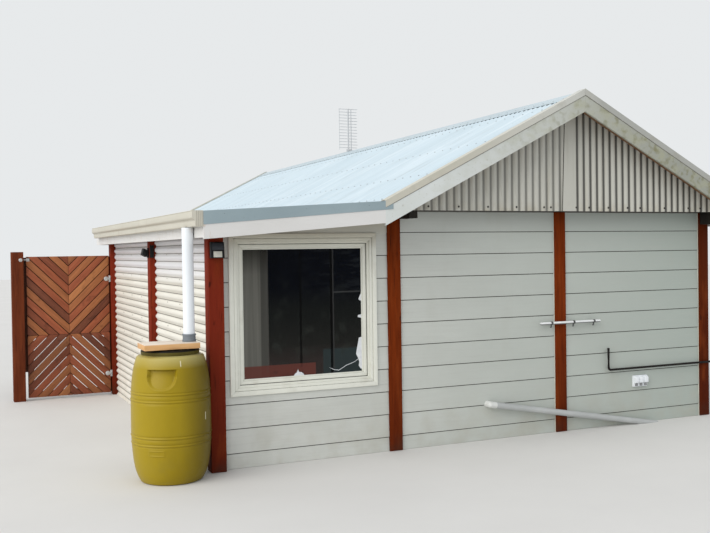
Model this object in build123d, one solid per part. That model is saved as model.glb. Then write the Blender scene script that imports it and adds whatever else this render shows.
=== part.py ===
"""Small weatherboard bungalow: a gabled wing with a shallow lean-to beside it, a rain barrel and a gate."""
import os
from math import cos, hypot, radians, sin

from build123d import *

os.makedirs("parts", exist_ok=True)

# All sizes are in millimetres. X runs to the right along the front wall, +Y into the building, Z up.
# The origin lies on level ground under the ridge, half way along the gabled wing.

# Gabled wing
wing_depth = 8150.0            # front boards to rear boards
bay_left = 1762.0              # ridge to the post beside the window
middle_post = 22.0             # the middle post stands right of the ridge
bay_right = 1850.0             # ridge to the right corner post
wall_thickness = 110.0
post_size = 125.0
post_proud = 25.0              # how far the wing's posts stand out of the boards
corner_proud = 69.0            # the same for the lean-to's posts
gable_rise = 1085.0            # lower edge of the gable sheeting to the ridge
gable_thickness = 218.0        # gable frame and sheeting, in front of the boards
floor_thickness = 80.0

# Gabled roof
roof_slope = 0.5065            # rise over run
ridge_height = 3195.0          # top of the roof sheets at the ridge
eave_run = 2050.0              # ridge to eave, level
roof_thickness = 70.0          # sheets, battens and lining, upright
front_overhang = 450.0
rear_overhang = 450.0
barge_thickness = 22.0
barge_depth = 149.0            # upright depth of the board below its flashing
barge_flashing_depth = 60.0    # upright face of the flashing
flashing_lip = 24.0            # flashing top above the roof sheets
flashing_width = 90.0          # how far the flashing laps onto the sheets
rib_pitch = 76.2               # ribbed sheets on roofs, gables and the left wall
rib_depth = 17.0
gable_strip_left = -78.0       # flat strip up the gable, beside the middle post
gable_strip_width = 143.0
bearer_depth = 67.0            # dark bearer ends under the gable, beside its outer posts
bearer_width = 80.0
bearer_right_depth = 120.0
bearer_right_x = 1800.0
bearer_right_width = 130.0
metal = 4.0                    # folded metal, thicker than the real sheet
mitre_gap = 1.0                # joint at the apex
soffit_thickness = 12.0
ridge_cap_width = 150.0        # each side of the ridge, level

# Lean-to
leanto_bay = 1621.0            # window post to the left corner post
leanto_depth = 4576.0          # front boards to rear boards
leanto_slope = 0.0568
leanto_drop = 1117.0           # ridge to the top of the lean-to's sheets at its fascia
leanto_overhang = 180.0        # roof past the centre of the corner post
leanto_rear_overhang = 125.0
leanto_roof_thickness = 60.0
sheet_proud = 49.5             # how far the left posts stand out of the wall sheets
fascia_thickness = 20.0
fascia_front_drop = 206.0      # sheets at the eave to the lower edge of the front fascia's left end
fascia_front_slope = 0.078
fascia_front_depth = 111.0
flashing_over = 10.0           # flashing top above the lean-to's sheets
left_fascia_drop = 193.0
left_post_spacing = 2228.0     # left corner post to the middle post

# Gutters
gutter_width = 86.0
gutter_height = 123.0
gutter_over_eave = 12.0
main_gutter_drop = 1045.0      # ridge to the top of the wing's gutters
gutter_short = 80.0            # lean-to gutter ends this far before the rear wall
yard_gutter_gap = 60.0         # lean-to roof to the yard gutter
fold_gap = 0.3                 # between the gutter's plates, folded from one sheet on the real one

# Window
window_size = 1329.0           # outside of the architrave, square
window_centre = 2599.5         # ridge to the middle of the window
window_below_eave = 158.0
architrave_width = 43.0
window_frame_width = 43.0
sash_width = 45.0
architrave_proud = 22.0
frame_depth = 80.0
glass_thickness = 8.0
sash_back = 12.0               # sash face behind the boards
sash_thickness = 44.0
glass_back = 28.0

# Yard door, in the wing's left wall behind the lean-to
door_width = 820.0
door_lintel = 131.0            # wall left above the door's frame
door_frame = 40.0
door_thickness = 40.0
door_back = 30.0               # door face behind the boards
door_from_leanto = 700.0

# Rain barrel and its downpipe
barrel_x = 382.0               # left of the corner post's centre
barrel_y = -72.0               # behind the front boards
barrel_radius = 309.0
barrel_foot_radius = 205.0
barrel_shoulder_radius = 258.0
barrel_neck_radius = 215.0
barrel_waist = 366.0           # height of the widest part
barrel_shoulder_height = 972.0
barrel_shoulder_drop = 12.0    # outer edge of the shoulder to the foot of the neck
barrel_neck = 12.0
barrel_wall = 12.0
barrel_sides = 40
barrel_slices = 8              # the round wall is laid out in slices with hairline gaps
slice_gap = 0.5
barrel_turn = 243.0            # degrees from +X to the middle of the handle on the front
hoop_heights = (311.0, 369.0, 645.0, 700.0)
hoop_proud = 5.0
hoop_half = 9.0
handle_width = 200.0
handle_low = 735.0
handle_high = 889.0
handle_depth = 45.0
lid_radius = 226.0
lid_height = 36.0
lid_rim = 10.0                 # how far the lid's rim reaches down over the neck
lid_play = 0.3
board_length = 430.0
board_width = 270.0
board_thickness = 46.0
board_left_of_post = 622.0     # left end of the board to the corner post's centre
downpipe_radius = 45.0
downpipe_wall = 5.0
downpipe_sides = 24
downpipe_x = 248.0             # left of the corner post's centre
downpipe_y = -146.0            # behind the front boards
downpipe_dip = 60.0            # how far the pipe reaches into the barrel
collar_radius = 54.0
collar_height = 60.0

# Gate
gate_width = 980.0
gate_low = 30.0
gate_high = 1750.0
gate_seam = 788.0              # where the battens change direction
gate_post_gap = 17.0           # leaf to the hinge post
latch_gap = 35.0               # leaf to the latch post
gate_behind_post = 40.0        # leaf face behind the front of the hinge post
batten_pitch = 85.0
batten_thickness = 20.0
upper_gap = 3.0
lower_gap = 10.0
gate_frame_thickness = 35.0
stile_width = 70.0
hinge_heights = (272.0, 1460.0)
hinge_length = 80.0
pin_radius = 5.0
knuckle_radius = 9.0
pin_clearance = 0.3
pin_offset = 14.0              # hinge axis to the hinge post's face
pin_in_front = 14.0            # hinge axis in front of the leaf
hinge_plate = 3.0
strap_length = 66.0
latch_height = 1712.0
latch_post_size = 138.0
latch_post_height = 1809.0
latch_post_proud = 60.0        # latch post in front of the leaf
latch_plate = 36.0
latch_bolt_radius = 7.0
latch_play = 6.0               # end of the bolt to the latch post

# Fittings on the walls and the roof
rail_length = 703.0
rail_radius = 13.5
rail_height = 1051.0
rail_left = -234.0
rail_out = 52.0                # axis in front of the boards
rail_clips = (-107.0, 152.0, 393.0)
rail_clip = 18.0
conduit_radius = 11.0
conduit_x = 580.0
conduit_top = 775.0
conduit_low = 558.0
conduit_out = 40.0
conduit_sides = 8
conduit_clip = 12.0
socket_x = 990.0
socket_width = 175.0
socket_height = 112.0
socket_depth = 55.0
socket_middle = 421.0
waste_radius = 30.0
waste_left = -809.0
waste_left_height = 334.0
waste_right = 1067.0           # where the pipe's axis meets the ground
waste_out = 62.0
lamp_size = 112.0
lamp_height = 130.0
lamp_depth = 60.0
lamp_below_eave = 354.0
lamp_from_post = 53.0          # lamp's left side to the corner post's centre
side_lamp_depth = 90.0
side_lamp_height = 103.0
side_lamp_width = 100.0
aerial_y = 784.0
aerial_width = 290.0
aerial_height = 560.0
aerial_rods = 14
aerial_rod = 7.0
aerial_mast = 22.0
aerial_mast_height = 610.0

# Derived places
front = -wing_depth / 2
rear = wing_depth / 2
half_post = post_size / 2
corner_x = -bay_left - leanto_bay
board_right = bay_right + half_post - post_proud
board_left = -bay_left - half_post + post_proud
sheet_x = corner_x - half_post + sheet_proud
core_x = sheet_x + rib_depth
leanto_rear = front + leanto_depth
gable_foot = ridge_height - gable_rise
leanto_eave_height = ridge_height - leanto_drop
fascia_front_low = leanto_eave_height - fascia_front_drop
left_fascia_low = leanto_eave_height - left_fascia_drop
gutter_top = leanto_eave_height + gutter_over_eave
main_gutter_top = ridge_height - main_gutter_drop
window_top = leanto_eave_height - window_below_eave
lamp_low = leanto_eave_height - lamp_below_eave
roof_front = front - front_overhang
roof_rear = rear + rear_overhang


def roof_top(x):
    """Height of the top of the roof sheets of the gabled wing."""
    return ridge_height - roof_slope * abs(x)


def roof_under(x):
    return roof_top(x) - roof_thickness


leanto_edge = corner_x - leanto_overhang


def leanto_top(x):
    """Height of the top of the lean-to's roof sheets."""
    return leanto_eave_height + leanto_slope * (x - leanto_edge)


def leanto_under(x):
    return leanto_top(x) - leanto_roof_thickness


def block(x0, x1, y0, y1, z0, z1):
    """A box between two corners."""
    return Pos((x0 + x1) / 2, (y0 + y1) / 2, (z0 + z1) / 2) * Box(x1 - x0, y1 - y0, z1 - z0)


def across(points, y0, y1):
    """An outline of (x, z) points extruded along Y."""
    face = make_face(Polyline(*[(x, y0, z) for x, z in points], close=True))
    return extrude(face, amount=y1 - y0, dir=(0, 1, 0))


def ribs(start, end, crest, trough):
    """Points (along, height) of a ribbed sheet that begins and ends on a crest."""
    count = round((end - start) / rib_pitch)
    pitch = (end - start) / count
    points = [(start, crest)]
    for k in range(count):
        base = start + k * pitch
        points += [(base + pitch / 8, crest), (base + 3 * pitch / 8, trough),
                   (base + 5 * pitch / 8, trough), (base + 7 * pitch / 8, crest)]
    return points + [(end, crest)]


def round_bar(radius, sides, low, high):
    """An upright round bar laid out with flat sides."""
    return extrude(Plane.XY.offset(low) * RegularPolygon(radius, sides), amount=high - low)


def save(name, *shapes):
    shape = shapes[0] if len(shapes) == 1 else Compound(children=list(shapes))
    shape.label = name
    export_step(shape, f"parts/{name}.step")


# Places of the posts' centres
corner_post_y = front - corner_proud + half_post
front_post_y = front - post_proud + half_post
rear_post_y = rear + post_proud - half_post
leanto_rear_post_y = leanto_rear + corner_proud - half_post
wing_posts = [-bay_left, middle_post, bay_right]
left_posts_y = [corner_post_y + left_post_spacing, leanto_rear_post_y]
right_posts_y = [front_post_y + (rear_post_y - front_post_y) * k / 3 for k in (1, 2)]


def post(x, y, height, lean=0.0):
    """A square post; its top follows a roof that rises by lean towards +X."""
    low = height - lean * half_post
    high = height + lean * half_post
    outline = [(x - half_post, 0), (x + half_post, 0), (x + half_post, high), (x - half_post, low)]
    return across(outline, y - half_post, y + half_post)


# Posts, stained hardwood, standing proud of the boards
corner_post = post(corner_x, corner_post_y, leanto_under(corner_x), leanto_slope)
posts_front = [corner_post] + [post(x, front_post_y, gable_foot) for x in wing_posts]
posts_left = [post(corner_x, y, leanto_under(corner_x), leanto_slope) for y in left_posts_y]
posts_right = [post(bay_right, y, roof_under(bay_right), -roof_slope) for y in right_posts_y]
posts_rear = [post(x, rear_post_y, gable_foot) for x in wing_posts]
save("posts_front", *posts_front)
save("posts_left", *posts_left)
save("posts_right", *posts_right)
save("posts_rear", *posts_rear)

# Walls, boarded frames with the posts let into their outer face
inner_left = board_left + wall_thickness
inner_right = board_right - wall_thickness
window_low = window_top - window_size
opening = window_size - 2 * architrave_width
window_middle = window_top - window_size / 2
window_x = -window_centre


def square_at_window(size, y0, y1):
    """A square block centred on the window."""
    half = size / 2
    return block(window_x - half, window_x + half, y0, y1, window_middle - half, window_middle + half)


window_bay = across([(core_x, 0), (-bay_left, 0), (-bay_left, roof_under(bay_left)),
                     (-eave_run, roof_under(eave_run)), (core_x, leanto_under(core_x))],
                    front, front + wall_thickness)
window_bay -= Compound(posts_front[:2])
window_bay -= square_at_window(opening, front - 1, front + wall_thickness + 1)
save("wall_front_window", window_bay)

gable_wall = [(-bay_left, 0), (board_right, 0), (board_right, roof_under(board_right)),
              (0, roof_under(0)), (-bay_left, roof_under(bay_left))]
save("wall_front_gable", across(gable_wall, front, front + wall_thickness) - Compound(posts_front[1:]))

rear_outline = [(board_left, 0), (board_right, 0), (board_right, roof_under(board_right)),
                (0, roof_under(0)), (board_left, roof_under(board_left))]
save("wall_rear", across(rear_outline, rear - wall_thickness, rear) - Compound(posts_rear))

right_outline = [(inner_right, 0), (board_right, 0), (board_right, roof_under(board_right)),
                 (inner_right, roof_under(inner_right))]
wall_right = across(right_outline, front + wall_thickness, rear - wall_thickness)
save("wall_right", wall_right - Compound(posts_right) - Compound(posts_front[3:] + posts_rear[2:]))

# Yard wall of the wing, behind the lean-to, with its door
door_y = leanto_rear + door_from_leanto
door_opening_width = door_width + 2 * door_frame
door_opening_top = roof_under(board_left) - door_lintel
door_top = door_opening_top - door_frame
yard_outline = [(board_left, 0), (inner_left, 0), (inner_left, roof_under(inner_left)),
                (board_left, roof_under(board_left))]
wall_yard = across(yard_outline, leanto_rear - wall_thickness, rear - wall_thickness)
door_hole = block(board_left - 1, inner_left + 1, door_y, door_y + door_opening_width,
                  floor_thickness, door_opening_top)
save("wall_yard", wall_yard - door_hole - Compound(posts_rear[:1]))

door_casing = block(board_left, inner_left, door_y, door_y + door_opening_width,
                    floor_thickness, door_opening_top)
door_casing -= block(board_left - 1, inner_left + 1, door_y + door_frame,
                     door_y + door_frame + door_width, floor_thickness - 1, door_top)
save("door_frame", door_casing)
door_face = board_left + door_back
save("door_leaf", block(door_face, door_face + door_thickness, door_y + door_frame,
                        door_y + door_frame + door_width, floor_thickness, door_top))

# Lean-to walls: ribbed sheets on the left side, boards at the rear
core_inner = core_x + wall_thickness - rib_depth
left_outline = [(core_x, 0), (core_inner, 0), (core_inner, leanto_under(core_inner)),
                (core_x, leanto_under(core_x))]
wall_left = across(left_outline, front + wall_thickness, leanto_rear - wall_thickness)
save("wall_left", wall_left - Compound(posts_left))
sheet_top = leanto_under(sheet_x)
sheet_stops = [corner_post_y] + left_posts_y
sheet_outline = [(core_x, 0)] + [(x, z) for z, x in ribs(0, sheet_top, sheet_x, core_x - metal)]
sheet_outline.append((core_x, sheet_top))
panels = [across(sheet_outline, y0 + half_post, y1 - half_post)
          for y0, y1 in zip(sheet_stops, sheet_stops[1:])]
save("sheets_left", *panels)
leanto_rear_outline = [(core_x, 0), (board_left, 0), (board_left, roof_under(board_left)),
                       (-eave_run, roof_under(eave_run)), (core_x, leanto_under(core_x))]
wall_leanto_rear = across(leanto_rear_outline, leanto_rear - wall_thickness, leanto_rear)
save("wall_leanto_rear", wall_leanto_rear - Compound(posts_left))

# Floor slabs
save("floor_main", block(inner_left, inner_right, front + wall_thickness, rear - wall_thickness,
                         0, floor_thickness))
save("floor_leanto", block(core_inner, inner_left, front + wall_thickness, leanto_rear - wall_thickness,
                           0, floor_thickness))

# Gable sheeting, standing in front of the boards on top of the posts
gable_left = -bay_left - half_post
gable_right = bay_right + half_post
gable_outline = [(gable_left, gable_foot), (gable_right, gable_foot),
                 (gable_right, roof_under(gable_right)), (0, roof_under(0)),
                 (gable_left, roof_under(gable_left))]


def gable(wall_y, away):
    """Ribbed gable with a flat middle strip; away is -1 at the front and +1 at the rear."""
    crest = wall_y + away * gable_thickness
    trough = crest - away * rib_depth
    left_half = ribs(gable_left, gable_strip_left, crest, trough)
    right_half = ribs(gable_strip_left + gable_strip_width, gable_right, crest, trough)
    plan = [(gable_left, wall_y)] + left_half + right_half + [(gable_right, wall_y)]
    foot = make_face(Polyline(*[(x, y, gable_foot) for x, y in plan], close=True))
    full = extrude(foot, amount=ridge_height - gable_foot, dir=(0, 0, 1))
    near, far = sorted((wall_y - away, crest + away))
    return full & across(gable_outline, near, far)


save("gable_front", gable(front, -1))
save("gable_rear", gable(rear, 1))
bearer_left_x = -bay_left + half_post
save("bearer_ends", block(bearer_left_x, bearer_left_x + bearer_width, front - gable_thickness + rib_depth,
                          front, gable_foot - bearer_depth, gable_foot),
     block(bearer_right_x, bearer_right_x + bearer_right_width, front - gable_thickness + rib_depth,
           front - post_proud, gable_foot - bearer_right_depth, gable_foot))

# Main roof
slab_front = roof_front + barge_thickness
slab_rear = roof_rear - barge_thickness


def ribbed_slab(x0, x1, y0, y1, top, slope, thickness):
    """A roof slab with ribs down its slope; top is its height at x0, slope its rise from x0 to x1."""
    section = [(y0, top - thickness)] + ribs(y0, y1, top, top - rib_depth) + [(y1, top - thickness)]
    face = make_face(Polyline(*[(x0, y, z) for y, z in section], close=True))
    return extrude(face, amount=hypot(x1 - x0, slope), dir=(x1 - x0, 0, slope))


for name, side in (("roof_main_left", -1), ("roof_main_right", 1)):
    save(name, ribbed_slab(0, side * eave_run, slab_front, slab_rear, ridge_height, -roof_slope * eave_run,
                           roof_thickness))


def slope_strip(side, low, high, run, y0, y1):
    """A strip along one roof slope, between two heights above the sheets; side is -1 or 1."""
    near = mitre_gap / 2
    outline = [(side * near, roof_top(near) + low), (side * run, roof_top(run) + low),
               (side * run, roof_top(run) + high), (side * near, roof_top(near) + high)]
    return across(outline, y0, y1)


barge_low = flashing_lip - barge_flashing_depth - barge_depth
barge_high = flashing_lip - metal
barges = []
for y0 in (roof_front, roof_rear - barge_thickness):
    for side in (-1, 1):
        barges.append(slope_strip(side, barge_low, barge_high, eave_run, y0, y0 + barge_thickness))
save("barge_boards", *barges)


def barge_flashing(outer, sign, side):
    """Folded metal over a barge board; sign is +1 at the front end and -1 at the rear."""
    spans = sorted((outer - sign * metal, outer))
    top = sorted((outer - sign * metal, outer + sign * flashing_width))
    tail = sorted((outer + sign * (flashing_width - metal), outer + sign * flashing_width))
    face = slope_strip(side, flashing_lip - barge_flashing_depth, flashing_lip, eave_run, *spans)
    cap = slope_strip(side, flashing_lip - metal, flashing_lip, eave_run, *top)
    drip = slope_strip(side, 0, flashing_lip, eave_run, *tail)
    return face + cap + drip


save("barge_flashings", *[barge_flashing(outer, sign, side)
                          for outer, sign in ((roof_front, 1), (roof_rear, -1)) for side in (-1, 1)])
cap_rise = 2 * metal
cap_edge = roof_top(ridge_cap_width)
cap_outline = [(-ridge_cap_width, cap_edge), (0, roof_top(0)), (ridge_cap_width, cap_edge),
               (ridge_cap_width, cap_edge + cap_rise), (0, roof_top(0) + cap_rise),
               (-ridge_cap_width, cap_edge + cap_rise)]
save("ridge_cap", across(cap_outline, roof_front + flashing_width, roof_rear - flashing_width))
save("soffit_front", *[slope_strip(side, -roof_thickness - soffit_thickness, -roof_thickness, eave_run,
                                   roof_front + barge_thickness, front - gable_thickness)
                       for side in (-1, 1)])

# Lean-to roof with its fascias and the flashing along its front edge
leanto_left = leanto_edge - fascia_thickness
leanto_end = leanto_rear + leanto_rear_overhang
save("roof_leanto", ribbed_slab(leanto_edge, -eave_run, roof_front + fascia_thickness,
                                leanto_end - fascia_thickness, leanto_top(leanto_edge),
                                leanto_top(-eave_run) - leanto_top(leanto_edge), leanto_roof_thickness))


def fascia_low(x):
    return fascia_front_low + fascia_front_slope * (x - leanto_left)


fascia_outline = [(leanto_left, fascia_low(leanto_left)), (-eave_run, fascia_low(-eave_run)),
                  (-eave_run, leanto_top(-eave_run) + flashing_over - metal),
                  (leanto_left, leanto_top(leanto_left) + flashing_over - metal)]
save("fascia_leanto_front", across(fascia_outline, roof_front, roof_front + fascia_thickness))
flashing_face = [(leanto_left, fascia_low(leanto_left) + fascia_front_depth),
                 (-eave_run, fascia_low(-eave_run) + fascia_front_depth),
                 (-eave_run, leanto_top(-eave_run) + flashing_over),
                 (leanto_left, leanto_top(leanto_left) + flashing_over)]


def leanto_strip(low, high, y0, y1):
    outline = [(leanto_left, leanto_top(leanto_left) + low), (-eave_run, leanto_top(-eave_run) + low),
               (-eave_run, leanto_top(-eave_run) + high), (leanto_left, leanto_top(leanto_left) + high)]
    return across(outline, y0, y1)


leanto_flashing = across(flashing_face, roof_front - metal, roof_front)
leanto_flashing += leanto_strip(flashing_over - metal, flashing_over, roof_front - metal,
                                roof_front + flashing_width)
leanto_flashing += leanto_strip(0, flashing_over, roof_front + flashing_width - metal,
                                roof_front + flashing_width)
save("flashing_leanto", leanto_flashing)
left_fascia = block(leanto_left, leanto_edge, roof_front + fascia_thickness, leanto_end - fascia_thickness,
                    left_fascia_low, leanto_top(leanto_edge) - metal)
rear_fascia = block(leanto_left, -eave_run, leanto_end - fascia_thickness, leanto_end,
                    left_fascia_low, leanto_top(leanto_left))
save("fascias_leanto", left_fascia, rear_fascia)

# Eaves of the wing
eave_low = roof_top(eave_run) + barge_low
right_fascia = block(eave_run, eave_run + fascia_thickness, roof_front, roof_rear,
                     eave_low, roof_top(eave_run) - metal)
yard_fascia = block(-eave_run - fascia_thickness, -eave_run, leanto_end, roof_rear,
                    eave_low, roof_top(eave_run) - metal)
save("fascias_main", right_fascia, yard_fascia)


def gutter(side, inner, top, y0, y1):
    """An open channel of floor, two sides and two end plates; side is the way from the fascia outwards."""
    outer = inner + side * gutter_width
    low = top - gutter_height
    x0, x1 = sorted((inner, outer))
    walls_low = low + metal + fold_gap
    plates = [block(x0, x1, y0, y1, low, low + metal)]
    for x in (x0, x1 - metal):
        plates.append(block(x, x + metal, y0, y1, walls_low, top))
    for y in (y0, y1 - metal):
        plates.append(block(x0 + metal + fold_gap, x1 - metal - fold_gap, y, y + metal, walls_low, top))
    return plates


pipe_y = front + downpipe_y
pipe_x = corner_x - downpipe_x
gutter_low = gutter_top - gutter_height
leanto_gutter = gutter(-1, leanto_left, gutter_top, roof_front, leanto_rear - gutter_short)
pipe_place = Pos(pipe_x, pipe_y, 0)
pipe_bore = pipe_place * round_bar(downpipe_radius - downpipe_wall, downpipe_sides, 0, gutter_top)
leanto_gutter[0] -= pipe_bore
save("gutter_leanto", *leanto_gutter)
right_gutter = gutter(1, eave_run + fascia_thickness, main_gutter_top, roof_front, roof_rear)
yard_gutter = gutter(-1, -eave_run - fascia_thickness, main_gutter_top, leanto_end + yard_gutter_gap,
                     roof_rear)
save("gutters_main", *right_gutter, *yard_gutter)

# Window
window_frame = square_at_window(window_size, front - architrave_proud, front)
window_frame += square_at_window(opening, front - 1, front + frame_depth)
sash = opening - 2 * window_frame_width
window_frame -= square_at_window(sash, front - architrave_proud - 1, front + frame_depth + 1)
glass_size = sash - 2 * sash_width
sash_ring = square_at_window(sash, front + sash_back, front + sash_back + sash_thickness)
sash_ring -= square_at_window(glass_size, front, front + frame_depth)
save("window_frame", window_frame)
save("window_sash", sash_ring)
save("window_glass", square_at_window(glass_size, front + glass_back, front + glass_back + glass_thickness))

# Downpipe, rain barrel, lid and board
barrel_place = Pos(corner_x - barrel_x, front + barrel_y, 0)
neck_low = barrel_shoulder_height + barrel_shoulder_drop
barrel_height = neck_low + barrel_neck
board_low = barrel_height + lid_height
board_x0 = corner_x - board_left_of_post
board_y0 = front - board_width
pipe_low = board_low + board_thickness
pipe_foot = barrel_height - downpipe_dip
downpipe = pipe_place * round_bar(downpipe_radius, downpipe_sides, pipe_foot, gutter_low) - pipe_bore
save("downpipe", downpipe)
pipe_hole = pipe_place * round_bar(downpipe_radius, downpipe_sides, 0, gutter_top)
collar = pipe_place * round_bar(collar_radius, downpipe_sides, pipe_low, pipe_low + collar_height)
save("downpipe_collar", collar - pipe_hole)


def barrel_radius_at(z):
    """The barrel swells as a cubic heel below its waist and draws in more sharply near the shoulder."""
    if z < barrel_waist:
        return barrel_radius - (barrel_radius - barrel_foot_radius) * (1 - z / barrel_waist) ** 3
    share = (z - barrel_waist) / (barrel_shoulder_height - barrel_waist)
    return barrel_radius - (barrel_radius - barrel_shoulder_radius) * share ** 4.5


def slice_section(z, outer):
    """Cross-section of one slice of the barrel's wall at a height."""
    inner = outer - barrel_wall
    half = 180 / barrel_slices
    steps = barrel_sides // barrel_slices
    points = []
    for radius, turn in ((outer, 1), (inner, -1)):
        gap = slice_gap / 2 / radius
        for k in range(steps + 1):
            angle = radians(turn * (-half + 2 * half * k / steps) * (1 - gap))
            points.append((radius * cos(angle), radius * sin(angle), z))
    return make_face(Polyline(*points, close=True))


def barrel_band(stations):
    """A slice of wall lofted through (height, extra radius) stations."""
    return loft([slice_section(z, barrel_radius_at(z) + extra) for z, extra in stations], ruled=True)


lower_hoop, split_low, upper_hoop, split_high = hoop_heights
above = slice_gap / 2
heel = [(share * barrel_waist, 0) for share in (0, 0.07, 0.2, 0.41, 0.66)]


def hoop(z):
    """Stations of one raised hoop."""
    return [(z - hoop_half, 0), (z, hoop_proud), (z + hoop_half, 0)]


lower_band = barrel_band(heel + hoop(lower_hoop) + [(split_low - hoop_half, 0),
                                                    (split_low - above, hoop_proud)])
middle_band = barrel_band([(split_low + above, hoop_proud), (split_low + hoop_half, 0)] + hoop(upper_hoop)
                          + [(split_high - hoop_half, 0), (split_high - above, hoop_proud)])
crown = barrel_shoulder_height - split_high
upper_band = barrel_band([(split_high + above, hoop_proud), (split_high + hoop_half, 0)]
                         + [(split_high + share * crown, 0) for share in (0.3, 0.58, 0.77, 0.89, 1)])
shoulder = loft([slice_section(barrel_shoulder_height, barrel_shoulder_radius),
                 slice_section(neck_low, barrel_neck_radius),
                 slice_section(barrel_height, barrel_neck_radius)], ruled=True)
upper_band += shoulder


def handle_block(grow, near, far):
    """A D-shaped block, flat on top, along the slice's middle line."""
    half = handle_width / 2 + grow
    low = handle_low - grow
    high = handle_high + grow
    middle = (low + high) / 2
    outline = [(half, high), (-half, high), (-half, middle), (-half / 2, low), (half / 2, low),
               (half, middle)]
    face = make_face(Polyline(*[(near, y, z) for y, z in outline], close=True))
    return extrude(face, amount=far - near, dir=(1, 0, 0))


handle_back = barrel_radius_at(handle_high) - handle_depth
handle_front = barrel_radius_at(handle_high) * cos(radians(180 / barrel_slices)) - barrel_wall
handle_band = upper_band + handle_block(barrel_wall, handle_back - barrel_wall, handle_front)
handle_band -= handle_block(0, handle_back, 2 * barrel_radius)
barrel_slices_all = []
for k in range(barrel_slices):
    turn = Rot(0, 0, barrel_turn + 360 * k / barrel_slices)
    top_band = handle_band if k % (barrel_slices // 2) == 0 else upper_band
    barrel_slices_all += [barrel_place * turn * band for band in (lower_band, middle_band, top_band)]
save("rain_barrel", *barrel_slices_all)
flat_share = cos(radians(180 / barrel_sides))
bottom_radius = (barrel_foot_radius - barrel_wall) * flat_share - slice_gap
save("barrel_bottom", barrel_place * round_bar(bottom_radius, barrel_sides, 0, barrel_wall))
lid = round_bar(lid_radius, barrel_sides, barrel_height - lid_rim, board_low)
lid -= round_bar((barrel_neck_radius + lid_play) / flat_share, barrel_sides, 0, barrel_height)
save("barrel_lid", barrel_place * lid - pipe_hole)
lid_board = block(board_x0, board_x0 + board_length, board_y0, board_y0 + board_width, board_low, pipe_low)
save("lid_board", lid_board - pipe_hole)

# Gate between the lean-to's rear post and its own latch post
hinge_face = corner_x - half_post
leaf_right = hinge_face - gate_post_gap
leaf_left = leaf_right - gate_width
leaf_front = leanto_rear_post_y - half_post + gate_behind_post
leaf_middle_x = (leaf_left + leaf_right) / 2
frame_front = leaf_front + batten_thickness
frame_rear = frame_front + gate_frame_thickness
axis_x = hinge_face - pin_offset
axis_y = leaf_front - pin_in_front


def batten_quarter(side, up, gap):
    """Sloping battens of one quarter of the leaf, all meeting the middle at 45 degrees."""
    wide = gate_width / 2 - gap / 2
    reach = gate_high - gate_seam if up > 0 else gate_seam - gate_low
    tall = reach - gap / 2
    room = block(gap / 2, gap / 2 + wide, leaf_front, frame_front, gap / 2, gap / 2 + tall)
    step = batten_pitch * 2 ** 0.5
    least = batten_thickness * gap * batten_pitch
    strips = []
    for k in range(-int(wide // step) - 1, int(tall // step) + 1):
        low = k * step + gap / 2
        high = (k + 1) * step - gap / 2
        slant = [(0, low), (reach, low + reach), (reach, high + reach), (0, high)]
        strip = across(slant, leaf_front, frame_front)
        cut = strip & room
        if cut is not None and cut.volume > least:
            strips += cut.solids()
    turned = []
    for strip in strips:
        if side < 0:
            strip = mirror(strip, Plane.YZ)
        if up < 0:
            strip = mirror(strip, Plane.XY)
        turned.append(Pos(leaf_middle_x, 0, gate_seam) * strip)
    return turned


save("gate_battens_upper", *(batten_quarter(-1, 1, upper_gap) + batten_quarter(1, 1, upper_gap)))
save("gate_battens_lower", *(batten_quarter(-1, -1, lower_gap) + batten_quarter(1, -1, lower_gap)))

gate_frame = block(leaf_left, leaf_right, frame_front, frame_rear, gate_low, gate_high)
half_stile = stile_width / 2
for x0, x1 in ((leaf_left + stile_width, leaf_middle_x - half_stile),
               (leaf_middle_x + half_stile, leaf_right - stile_width)):
    for z0, z1 in ((gate_low + stile_width, gate_seam - half_stile),
                   (gate_seam + half_stile, gate_high - stile_width)):
        gate_frame -= block(x0, x1, frame_front - 1, frame_rear + 1, z0, z1)
save("gate_frame", gate_frame)

straps = []
pins = []
third = hinge_length / 3
for z in hinge_heights:
    place = Pos(axis_x, axis_y, z)
    strap = block(axis_x - strap_length, axis_x, leaf_front - hinge_plate, leaf_front,
                  z - third / 2, z + third / 2)
    strap += place * Cylinder(knuckle_radius, third)
    strap += block(axis_x - knuckle_radius, axis_x - knuckle_radius + hinge_plate, axis_y, leaf_front,
                   z - third / 2, z + third / 2)
    strap -= place * Cylinder(pin_radius + pin_clearance, 2 * third)
    straps.append(strap)
    pin = place * Cylinder(pin_radius, hinge_length)
    plate = block(hinge_face - hinge_plate, hinge_face, axis_y - pin_offset, axis_y + pin_offset,
                  z - hinge_length / 2, z + hinge_length / 2)
    for end in (-1, 1):
        middle = z + end * (hinge_length / 2 - third / 2 + 0.5)
        ear = Pos(axis_x, axis_y, middle) * Cylinder(knuckle_radius, third - 1)
        web = block(axis_x, hinge_face - hinge_plate / 2, axis_y - 4, axis_y + 4,
                    middle - (third - 1) / 2, middle + (third - 1) / 2)
        pin = pin + ear + web
    pins.append(pin + plate)
save("gate_hinges", *straps)
save("gate_pins", *pins)

latch = block(leaf_left, leaf_left + latch_plate, leaf_front - latch_bolt_radius, leaf_front,
              latch_height - latch_plate / 2, latch_height + latch_plate / 2)
bolt_length = latch_plate + latch_gap - latch_play
bolt_y = leaf_front - 1.5 * latch_bolt_radius
bolt_place = Pos(leaf_left + latch_plate - bolt_length / 2, bolt_y, latch_height)
latch += bolt_place * Rot(0, 90, 0) * Cylinder(latch_bolt_radius, bolt_length)
save("gate_latch", latch)
latch_right = leaf_left - latch_gap
post_front = leaf_front - latch_post_proud
save("gate_post", block(latch_right - latch_post_size, latch_right, post_front,
                        post_front + latch_post_size, 0, latch_post_height))

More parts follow.
